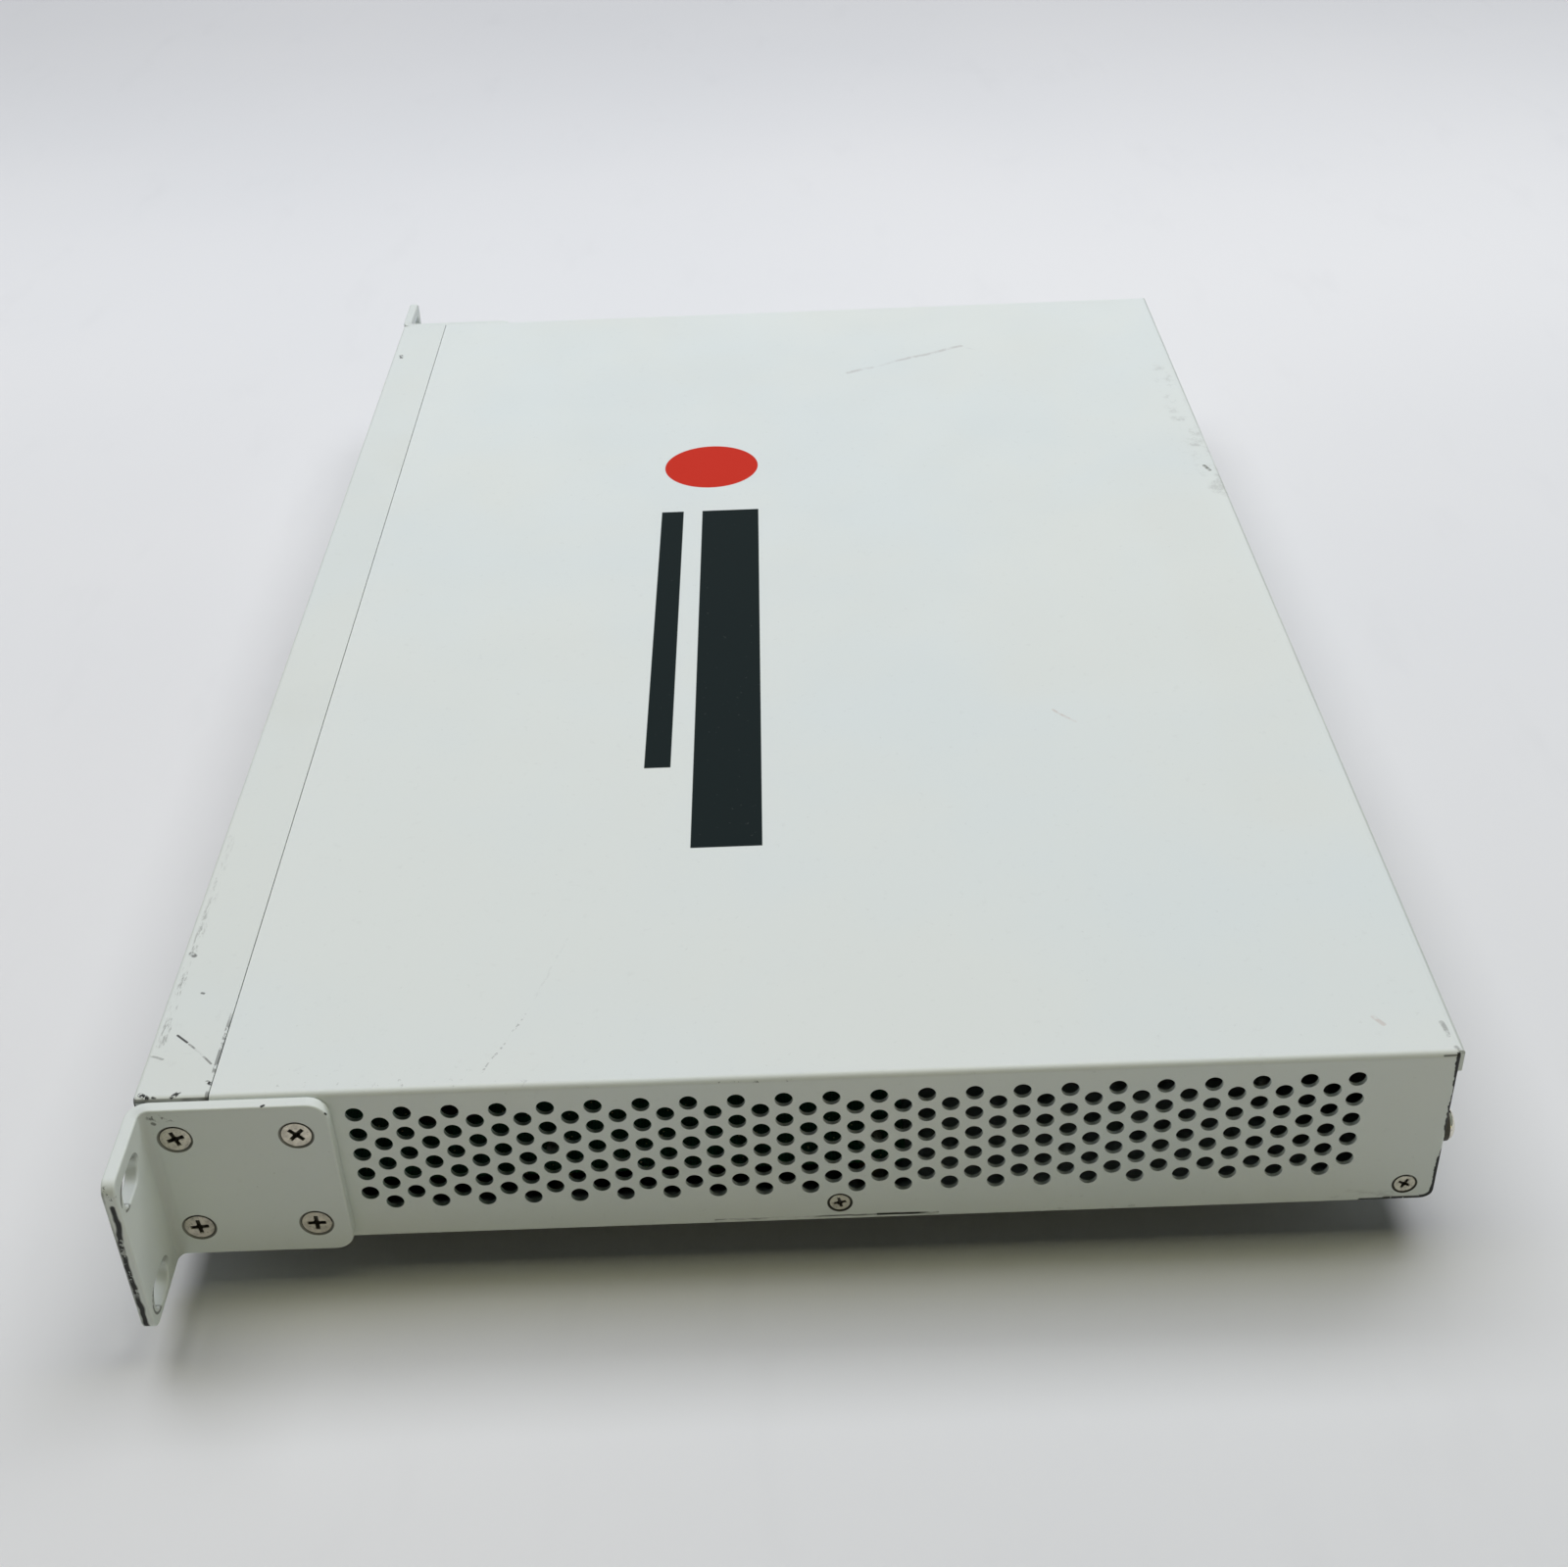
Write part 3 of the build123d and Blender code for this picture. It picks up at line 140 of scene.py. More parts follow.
# ---- Shader building -----------------------------------------------------------------------
class Shader:
    """A Principled material, built up from small node expressions in object coordinates."""

    def __init__(self, name):
        self.material = bpy.data.materials.new(name)
        self.material.use_nodes = True
        self.tree = self.material.node_tree
        self.surface = self.tree.nodes["Principled BSDF"]
        self.place = self.node("ShaderNodeTexCoord").outputs["Object"]
        self.normal = self.node("ShaderNodeNewGeometry").outputs["Normal"]

    def node(self, kind, **settings):
        made = self.tree.nodes.new(kind)
        for key, value in settings.items():
            setattr(made, key, value)
        return made

    def feed(self, socket, value):
        if isinstance(value, bpy.types.NodeSocket):
            self.tree.links.new(value, socket)
        elif isinstance(value, (tuple, list, Vector)) and socket.type == "RGBA":
            socket.default_value = (*value, 1.0)
        else:
            socket.default_value = value

    def set(self, name, value):
        self.feed(self.surface.inputs[name], value)

    def math(self, operation, a, b=0.0, clamp=False):
        made = self.node("ShaderNodeMath", operation=operation, use_clamp=clamp)
        self.feed(made.inputs[0], a)
        self.feed(made.inputs[1], b)
        return made.outputs[0]

    def vector(self, operation, a, b=None, scale=None):
        made = self.node("ShaderNodeVectorMath", operation=operation)
        self.feed(made.inputs[0], a)
        if b is not None:
            self.feed(made.inputs[1], b)
        if scale is not None:
            self.feed(made.inputs["Scale"], scale)
        plain = operation in ("DOT_PRODUCT", "LENGTH", "DISTANCE")
        return made.outputs["Value" if plain else "Vector"]

    def fit(self, value, low, high, to_low=0.0, to_high=1.0, smooth=True):
        """value from low..high to to_low..to_high, held at both ends."""
        kind = "SMOOTHSTEP" if smooth else "LINEAR"
        made = self.node("ShaderNodeMapRange", interpolation_type=kind)
        made.clamp = True
        self.feed(made.inputs["Value"], value)
        made.inputs["From Min"].default_value = low
        made.inputs["From Max"].default_value = high
        made.inputs["To Min"].default_value = to_low
        made.inputs["To Max"].default_value = to_high
        return made.outputs["Result"]

    def between(self, value, rise, fall):
        """1 from the end of rise to the start of fall, each a pair of values, and 0 beyond them."""
        return self.both(self.fit(value, *rise), self.fit(value, *fall, 1.0, 0.0))

    def blots(self, scale, detail, low, high, least=0.0, most=1.0, rough=0.5, stretch=None):
        """Noise as soft blots, from least between them to most inside."""
        return self.fit(self.noise(scale, detail, rough, stretch=stretch), low, high, least, most)

    def mix(self, share, a, b):
        made = self.node("ShaderNodeMix", data_type="RGBA")
        self.feed(made.inputs[0], share)
        self.feed(made.inputs[6], a)
        self.feed(made.inputs[7], b)
        return made.outputs[2]

    def noise(self, scale, detail=2.0, rough=0.5, place=None, stretch=None):
        where = place if place is not None else self.place
        if stretch is not None:
            where = self.vector("MULTIPLY", where, stretch)
        made = self.node("ShaderNodeTexNoise")
        self.feed(made.inputs["Vector"], where)
        made.inputs["Scale"].default_value = scale
        made.inputs["Detail"].default_value = detail
        made.inputs["Roughness"].default_value = rough
        return made.outputs["Fac"]

    def cells(self, scale, output="Distance"):
        made = self.node("ShaderNodeTexVoronoi", feature="F1")
        self.feed(made.inputs["Vector"], self.place)
        made.inputs["Scale"].default_value = scale
        return made.outputs[output]

    def bump(self, height, strength, distance, normal=None):
        made = self.node("ShaderNodeBump")
        made.inputs["Strength"].default_value = strength
        made.inputs["Distance"].default_value = distance
        self.feed(made.inputs["Height"], height)
        if normal is not None:
            self.feed(made.inputs["Normal"], normal)
        return made.outputs["Normal"]

    def axis(self, letter, source=None):
        made = self.node("ShaderNodeSeparateXYZ")
        self.feed(made.inputs[0], source if source is not None else self.place)
        return made.outputs[letter]

    def either(self, *masks):
        whole = masks[0]
        for mask in masks[1:]:
            whole = self.math("MAXIMUM", whole, mask)
        return whole

    def both(self, *masks):
        whole = masks[0]
        for mask in masks[1:]:
            whole = self.math("MULTIPLY", whole, mask)
        return whole

    def near(self, value, at, reach):
        """1 at a coordinate, falling to 0 a reach away."""
        gap = self.math("ABSOLUTE", self.math("SUBTRACT", value, at))
        return self.fit(gap, 0.0, reach, 1.0, 0.0)

    def reach(self, start, end, place=None):
        """How far it is to the stretch from start to end."""
        a, b = Vector(start), Vector(end)
        along = b - a
        gap = self.vector("SUBTRACT", place if place is not None else self.place, a)
        run = self.vector("DOT_PRODUCT", gap, along)
        share = self.math("DIVIDE", run, along.length_squared, clamp=True)
        foot = self.vector("SCALE", along, scale=share)
        return self.vector("LENGTH", self.vector("SUBTRACT", gap, foot))

    def line(self, points, width, place=None):
        """1 on the line through the points, 0 beyond half the width from it."""
        reach = self.reach(points[0], points[1], place)
        for start, end in zip(points[1:], points[2:]):
            reach = self.math("MINIMUM", reach, self.reach(start, end, place))
        return self.fit(reach, width * 0.2, width * 0.5, 1.0, 0.0)

    def from_axes(self, places):
        """Distance from the nearest of some axes along X, each given in mm: back and up."""
        flat = self.vector("MULTIPLY", self.place, Vector((0, 1, 1)))
        gaps = [self.vector("DISTANCE", flat, spot(0, back, up)) for back, up in places]
        nearest = gaps[0]
        for gap in gaps[1:]:
            nearest = self.math("MINIMUM", nearest, gap)
        return nearest

    def broken(self, scale, share, seed=0.0, detail=4.0):
        """Hard-edged patches of noise that cover a share of the surface."""
        shifted = self.vector("ADD", self.place, Vector((seed, seed * 0.7, seed * 0.3)))
        low = 0.78 - 0.56 * share
        return self.fit(self.noise(scale, detail, 0.7, place=shifted), low - 0.03, low + 0.03)

    def wander(self, amount, scale):
        """The place, shifted a little by noise, so that drawn lines aren't straight."""
        made = self.node("ShaderNodeTexNoise")
        self.feed(made.inputs["Vector"], self.place)
        made.inputs["Scale"].default_value = scale
        made.inputs["Detail"].default_value = 1.0
        shift = self.vector("SUBTRACT", made.outputs["Color"], Vector((0.5, 0.5, 0.5)))
        return self.vector("ADD", self.place, self.vector("SCALE", shift, scale=amount))


# ---- Finishes ------------------------------------------------------------------------------
# Where the fasteners and slots are, in mm: back from the bezel's front, up from the base.
SIDE_SCREWS = ((152.4, 5.0), (280.0, 4.6))
EAR_SCREWS = ((8.3, 34.8), (8.3, 7.5), (34.7, 34.8), (34.7, 7.5))
REAR_SCREWS = (210.0, 17.4)                         # either way from the middle, and up
RACK_SPACING = 31.75
SLOT_HEIGHTS = (20.3 + RACK_SPACING / 2, 20.3 - RACK_SPACING / 2)

# Colours of wear and of the print.
BARE_EDGE = (0.016, 0.017, 0.016)
DARK_WEAR = (0.06, 0.06, 0.055)
GRIME = (0.17, 0.17, 0.155)
BROWN_SMEAR = (0.33, 0.29, 0.28)
PRINT_BLACK = (0.004, 0.011, 0.012)
PRINT_RED = (0.56, 0.026, 0.012)


def coat(s, colour, marks, rough=(0.46, 0.58), matt=None):
    """Off-white powder coat: faint mottling, orange peel, a list of marks, each a mask and its
    colour, and a mask of where it is matt."""
    patch = s.noise(9, 3, 0.6)
    speck = s.noise(420, 2, 0.6)
    warm = tuple(c * k for c, k in zip(colour, (1.012, 1.0, 0.975)))
    cool = tuple(c * k for c, k in zip(colour, (0.982, 0.995, 1.0)))
    tint = s.mix(s.fit(patch, 0.32, 0.68), cool, warm)
    tint = s.mix(s.fit(speck, 0.62, 0.8, 0.0, 0.05), tint, (0.25, 0.25, 0.24))
    for mask, stain in marks:
        tint = s.mix(mask, tint, stain)
    s.set("Base Color", tint)
    gloss = s.fit(s.noise(26, 4, 0.65), 0.3, 0.7, rough[0], rough[1])
    if matt is not None:
        gloss = s.math("MAXIMUM", gloss, s.math("MULTIPLY", matt, 0.95))
    s.set("Roughness", gloss)
    s.set("Specular IOR Level", 0.30)
    peel = s.bump(s.noise(1100, 1, 0.4), 0.22, 0.05 * MM)
    s.set("Normal", s.bump(s.noise(3600, 1, 0.5), 0.12, 0.02 * MM, peel))


def top_print(s):
    """The printed mark on the cover: a plain bar, a thinner one beside it and a disc."""
    x, y = s.axis("X"), s.axis("Y")
    upward = s.fit(s.axis("Z"), TOP - 0.35 * MM, TOP - 0.25 * MM)
    blur = 0.09 * MM

    def stripe(x0, x1, y0, y1):
        low, high = spot(x0, y0), spot(x1, y1)
        across = s.between(x, (low.x - blur, low.x + blur), (high.x - blur, high.x + blur))
        back = s.between(y, (low.y - blur, low.y + blur), (high.y - blur, high.y + blur))
        return s.both(across, back)

    dark = s.either(stripe(-50, 132, 119, 137), stripe(-50, 96, 106, 113))
    away = s.vector("DISTANCE", s.place, spot(-82, 121.5))
    disc_radius = 15.5 * MM
    disc = s.fit(away, disc_radius - blur, disc_radius + blur, 1, 0)
    return s.both(dark, upward), s.both(disc, upward)


def inner_faces(s, reach, y, z):
    """1 on the inner faces of the cover's sides and top, short of its rear edge."""
    sheet, nearly = 0.98 * MM, 0.90 * MM
    sides = s.both(s.fit(reach, SIDE - sheet, SIDE - nearly, 1, 0),
                   s.fit(z, TOP - 2.2 * MM, TOP - 2.0 * MM, 1, 0))
    top = s.both(s.fit(z, TOP - sheet, TOP - nearly, 1, 0),
                 s.fit(reach, SIDE - 1.9 * MM, SIDE - 1.7 * MM, 1, 0))
    return s.both(s.either(sides, top), s.fit(y, REAR - 0.6 * MM, REAR - 0.4 * MM, 1, 0))


def vent_walls(s, reach, y, z):
    """The walls of the vent holes: a painted highlight, lighter than the coat, towards the rear, and
    painted shade, a dark grey, in front.
    """
    outer = (SIDE - 0.12 * MM, SIDE - 0.04 * MM)
    walls = s.both(s.between(reach, (SIDE - 0.95 * MM, SIDE - 0.85 * MM), outer),
                   s.between(z, (BASE + 6 * MM, BASE + 7 * MM), (TOP - 4 * MM, TOP - 3 * MM)),
                   s.between(y, (FRONT + 30 * MM, FRONT + 34 * MM), (REAR - 6 * MM, REAR - 5 * MM)))
    return [
        (s.both(walls, s.fit(y, FRONT + 150 * MM, FRONT + 250 * MM)), (0.93, 0.99, 0.97)),
        (s.both(walls, s.fit(y, FRONT + 170 * MM, FRONT + 60 * MM)), (0.26, 0.33, 0.31)),
    ]


def cover_edges(s, reach, side, y, z):
    """Masks of the cover's worn edges: worn to bare metal, and the shaded line of the rear lip."""
    corner = s.vector("DISTANCE", s.vector("MULTIPLY", s.place, Vector((0, 1, 1))), spot(0, 284.0, 3.0))
    round_end = s.both(s.fit(corner, 1.9 * MM, 2.3 * MM),
                       s.fit(z, BASE + 3.0 * MM, BASE + 3.2 * MM, 1, 0),
                       s.fit(y, REAR - 3.4 * MM, REAR - 3.0 * MM))
    upper = s.fit(z, BASE + 33 * MM, BASE + 40 * MM, 0.5, 1.05)
    lower = s.fit(z, BASE + 9 * MM, BASE + 14 * MM, 0.5, 0.0)
    at_screw = s.math("MULTIPLY", s.near(z, BASE + 17.5 * MM, 5.5 * MM), 0.5)
    worn = s.math("SUBTRACT", s.math("ADD", upper, lower), at_screw)
    worn = s.math("ADD", worn, s.fit(s.noise(340, 3, 0.6), 0.25, 0.75, -0.35, 0.35, smooth=False))
    inward = s.math("MULTIPLY", s.math("SUBTRACT", REAR, y), 1 / MM)
    rear_line = s.both(s.fit(s.math("SUBTRACT", worn, inward), -0.12, 0.12),
                       s.fit(reach, SIDE - 0.75 * MM, SIDE - 0.65 * MM),
                       s.fit(y, REAR + 0.05 * MM, REAR + 0.15 * MM, 1, 0),
                       s.fit(z, TOP - 0.5 * MM, TOP - 0.2 * MM, 1, 0))
    lip_line = s.both(s.fit(y, REAR + 0.05 * MM, REAR + 0.35 * MM),
                      s.fit(z, TOP - 1.2 * MM, TOP - 1.0 * MM), s.blots(25, 2, 0.3, 0.6, 0.15, 0.45))
    rear_edge = s.either(rear_line, s.both(round_end, side, s.broken(420, 0.86)))
    low_edge = s.either(s.line([flank(270.5, 0.0), flank(276, 0.0)], 1.3 * MM),
                        s.line([flank(276, 0.0), flank(284, 0.0)], 2.0 * MM))
    frayed = s.noise(260, 4, 0.7, stretch=Vector((1, 0.25, 1.6)))
    uneven = s.wander(0.5 * MM, 240)
    thin_edge = s.line([flank(124, 0.75), flank(165, 0.9)], 0.75 * MM, uneven)
    thick_edge = s.line([flank(161, 0.9), flank(168, 0.8), flank(174.5, 0.75)],
                        0.95 * MM, uneven)
    bare = s.either(rear_edge, s.both(low_edge, s.broken(420, 0.70, 1.0)),
                    s.both(thin_edge, s.fit(frayed, 0.42, 0.60, 0.0, 0.75)),
                    s.both(thick_edge, s.fit(frayed, 0.28, 0.46, 0.1, 1.0)))
    return bare, lip_line


def side_scuffs(s):
    """Masks of the scuffs low on the cover's right side, and of the one on its upper bend."""
    far = s.both(s.line([flank(199, 0.9), flank(219, 0.8)], 1.1 * MM),
                 s.blots(300, 4, 0.48, 0.66, 0.0, 0.6, rough=0.7))
    near = s.both(s.line([flank(264, 2.0), flank(277, 1.6)], 3.0 * MM, s.wander(1.2 * MM, 200)),
                  s.blots(230, 5, 0.44, 0.68, 0.0, 0.62, 0.7, Vector((1, 0.6, 1.4))))
    bend = s.line([flank(126, 42.9), flank(150, 42.9)], 0.8 * MM)
    return s.either(near, far), s.both(bend, s.broken(600, 0.34, 6.0))


def top_marks(s, x, y, on_top):
    """The stains and scratches on the cover's top, each a mask and its colour."""
    wave = s.wander(5 * MM, 45)
    tremble = s.wander(1.6 * MM, 160)
    caret = s.line([spot(-154.2, 170.5), spot(-166.2, 193.5), spot(-176.1, 213.1)], 2.6 * MM, wave)
    caret_end = s.line([spot(-176.1, 213.1), spot(-160.8, 231.8)], 2.0 * MM, wave)
    scratch = s.line([spot(211.9, 74.8), spot(204.5, 78.5), spot(190, 84), spot(166.1, 90.8)],
                     0.75 * MM, tremble)
    scratch = s.both(scratch, s.broken(800, 0.50, 8.0, 2.0), s.blots(60, 1, 0.35, 0.6, 0.08, 0.50))
    short = s.line([spot(74.9, 216.6), spot(81.5, 221.8)], 1.1 * MM, tremble)
    chip = s.line([spot(-69, 284.0), spot(-65.5, 285.2)], 1.6 * MM)
    smear = s.line([spot(-150, 282), spot(-96, 284), spot(-50, 286)], 10 * MM, wave)
    rust = s.line([spot(203.5, 271.0), spot(206.0, 272.6)], 1.6 * MM)
    dirt = s.both(s.fit(x, SIDE - 10 * MM, SIDE - 1.5 * MM), s.fit(y, FRONT + 24 * MM, FRONT + 34 * MM),
                  s.fit(y, FRONT + 100 * MM, FRONT + 74 * MM), s.broken(520, 0.24, 7.0), on_top)
    return [
        (s.both(caret, s.blots(300, 3, 0.36, 0.62, 0.05, 0.34)), BROWN_SMEAR),
        (s.both(caret_end, s.blots(340, 3, 0.44, 0.62, 0.0, 0.26)), BROWN_SMEAR),
        (scratch, (0.20, 0.21, 0.20)),
        (s.both(short, s.blots(420, 2, 0.4, 0.6, 0.1, 0.4)), (0.45, 0.30, 0.24)),
        (s.both(smear, s.blots(160, 4, 0.48, 0.68, 0.0, 0.26, rough=0.7)), GRIME),
        (s.both(rust, s.blots(420, 3, 0.35, 0.6, 0.0, 0.35)), (0.45, 0.32, 0.27)),
        (s.math("MULTIPLY", dirt, 0.34), GRIME),
        (s.both(chip, on_top, s.broken(700, 0.6, 9.0)), (0.22, 0.23, 0.21)),
        (s.blots(520, 3, 0.67, 0.73, 0.0, 0.10, rough=0.7), (0.20, 0.21, 0.20)),
    ]


def cover_finish():
    s = Shader("cover_paint")
    x, y, z = s.axis("X"), s.axis("Y"), s.axis("Z")
    reach = s.math("ABSOLUTE", x)
    side = s.fit(reach, SIDE - 0.9 * MM, SIDE - 0.4 * MM)
    on_top = s.fit(z, TOP - 0.6 * MM, TOP - 0.3 * MM)
    bare, lip_line = cover_edges(s, reach, side, y, z)
    scuffs, bend_scuff = side_scuffs(s)
    corner_chips = s.either(s.line([spot(206.2, 285.2), spot(210.5, 285.4)], 1.5 * MM,
                                   s.wander(1.6 * MM, 260)),
                            s.line([spot(214.2, 286.2), spot(215.6, 286.8)], 1.5 * MM))
    corner_line = s.line([flank(283.4, 43.2), flank(287.2, 43.3)], 0.8 * MM)
    yellowing = s.line([spot(-40, 270), spot(60, 274), spot(120, 268)], 34 * MM, s.wander(5 * MM, 45))
    rim = s.from_axes(SIDE_SCREWS)
    # painted shade: a dark ring in the gap around each side screw's head
    screw_gap_shade = s.between(rim, (2.20 * MM, 2.34 * MM), (2.80 * MM, 2.98 * MM))
    ink, disc = top_print(s)
    marks = [
        (s.math("MULTIPLY", yellowing, 0.05), (0.66, 0.62, 0.52)),
        (lip_line, (0.30, 0.33, 0.31)),
        (ink, PRINT_BLACK),
        (disc, PRINT_RED),
        *top_marks(s, x, y, on_top),
        (s.math("MULTIPLY", scuffs, 0.5), BARE_EDGE),
        (s.math("MULTIPLY", bend_scuff, 0.6), BARE_EDGE),
        (s.both(corner_chips, s.blots(420, 4, 0.34, 0.60, 0.0, 0.5, rough=0.7)), (0.10, 0.105, 0.095)),
        (s.math("MULTIPLY", corner_line, 0.8), BARE_EDGE),
        (s.both(screw_gap_shade, side), (0.035, 0.033, 0.025)),
        (bare, BARE_EDGE),
        (inner_faces(s, reach, y, z), (0.42, 0.50, 0.47)),
        *vent_walls(s, reach, y, z),
    ]
    coat(s, (0.722, 0.768, 0.762), marks, matt=s.either(ink, disc))
    return s.material


def bezel_finish():
    s = Shader("bezel_paint")
    x, y, z = s.axis("X"), s.axis("Y"), s.axis("Z")
    reach = s.math("ABSOLUTE", x)
    on_top = s.fit(z, TOP - 1.4 * MM, TOP - 0.6 * MM)
    tremble = s.wander(1.4 * MM, 160)

    joint = s.both(s.fit(y, bezel_high.y - 0.8 * MM, bezel_high.y - 0.5 * MM), on_top)
    worn_joint = s.both(joint, s.fit(x, 186 * MM, 194 * MM), s.fit(x, 208.5 * MM, 207.5 * MM, 0, 1),
                        s.broken(420, 0.60))
    joint_end = s.both(joint, s.fit(x, 213.5 * MM, 214.5 * MM), s.broken(420, 0.66, 1.0))
    band = s.line([spot(120, 2.2), spot(160, 2.5), spot(176, 2.0), spot(188, 2.2), spot(198.5, 2.5)],
                  2.6 * MM, tremble)
    band = s.both(band, s.fit(x, 112 * MM, 178 * MM, 0.25, 1.15))
    stroke = s.line([spot(195.4, 5.4), spot(197.9, 8.1)], 0.75 * MM)
    long_stroke = s.line([spot(198.4, 8.6), spot(201, 11.3), spot(205.2, 15.0)], 0.7 * MM)
    hook = s.line([spot(201.8, 0.7), spot(202.2, 2.2), spot(203.2, 3.8)], 0.9 * MM, tremble)
    fleck = s.line([spot(181.0, 7.7), spot(181.2, 8.2)], 0.9 * MM)
    pale_fleck = s.line([spot(166.5, 2.1), spot(167.4, 3.0)], 1.8 * MM)
    far_fleck = s.line([spot(-186.2, 2.9), spot(-184.2, 3.4)], 2.0 * MM, tremble)
    flecks = s.either(s.math("MULTIPLY", fleck, 0.75),
                      s.both(pale_fleck, s.blots(900, 2, 0.4, 0.6, 0.2, 0.75)),
                      s.both(far_fleck, s.blots(900, 2, 0.4, 0.6, 0.25, 0.85)))
    chips = s.either(s.line([spot(214.4, 1.6), spot(215.4, 3.2)], 1.6 * MM),
                     s.line([spot(215.3, 4.4), spot(215.5, 5.0)], 1.0 * MM),
                     s.line([spot(215.4, 8.6), spot(214.2, 9.8)], 1.5 * MM),
                     s.line([spot(211.0, 15.4), spot(211.6, 16.2)], 1.3 * MM))
    tip = s.line([flank(0.0, 43.4), flank(0.5, 40.5)], 1.5 * MM)
    # painted shadow: a dark line on the bezel's side fillet, in the gap just above the ear's top
    bezel_gap_shadow = s.both(s.fit(reach, SIDE - 1.3 * MM, SIDE - 1.1 * MM),
                  s.between(z, (TOP - 1.1 * MM, TOP - 1.0 * MM), (TOP - 0.40 * MM, TOP - 0.28 * MM)),
                  s.blots(120, 2, 0.3, 0.55, 0.55, 1.0))
    front_edge = s.both(s.near(y, FRONT + 0.2 * MM, 0.9 * MM), on_top, s.broken(240, 0.16, 4.0))
    marks = [
        (s.blots(14, 3, 0.5, 0.75, 0.0, 0.10, rough=0.6), (0.52, 0.52, 0.46)),
        (s.both(band, s.blots(420, 4, 0.47, 0.66, 0.0, 0.52, 0.8, Vector((0.5, 2.2, 1.0)))), GRIME),
        (s.both(stroke, s.broken(900, 0.72, 5.0)), (0.06, 0.06, 0.06)),
        (s.both(long_stroke, s.blots(420, 2, 0.42, 0.6, 0.05, 0.7)), (0.12, 0.12, 0.11)),
        (s.both(hook, s.blots(520, 2, 0.4, 0.6, 0.1, 0.5)), GRIME),
        (flecks, (0.05, 0.05, 0.05)),
        (s.both(s.either(chips, tip), s.broken(700, 0.60, 6.0)), BARE_EDGE),
        (bezel_gap_shadow, (0.055, 0.056, 0.050)),
        (s.math("MULTIPLY", s.either(worn_joint, joint_end), 0.62), DARK_WEAR),
        (s.math("MULTIPLY", front_edge, 0.5), (0.20, 0.20, 0.19)),
    ]
    coat(s, (0.707, 0.750, 0.738), marks, (0.48, 0.60))
    return s.material


def slot_marks(s, x, z):
    """Masks of the ear's slots: their worn rims, and the shade on their lower walls."""
    rims, hollows = [], []
    for height in SLOT_HEIGHTS:
        slot = s.reach(spot(229.05, 2.25, height), spot(236.05, 2.25, height))
        off = s.math("ABSOLUTE", s.math("SUBTRACT", slot, 3.55 * MM))
        rims.append(s.both(s.fit(off, 0.18 * MM, 0.42 * MM, 1, 0), s.fit(x, 235.0 * MM, 236.2 * MM)))
        low_part = s.fit(z, BASE + (height - 1.0) * MM, BASE + (height + 2.6) * MM)
        hollows.append(s.both(s.fit(slot, 3.55 * MM, 3.75 * MM, 1, 0), low_part))
    return (s.both(s.either(*rims), s.broken(360, 0.62, 4.0)),
            s.both(s.either(*hollows), s.blots(400, 3, 0.3, 0.6, 0.45, 0.9)))


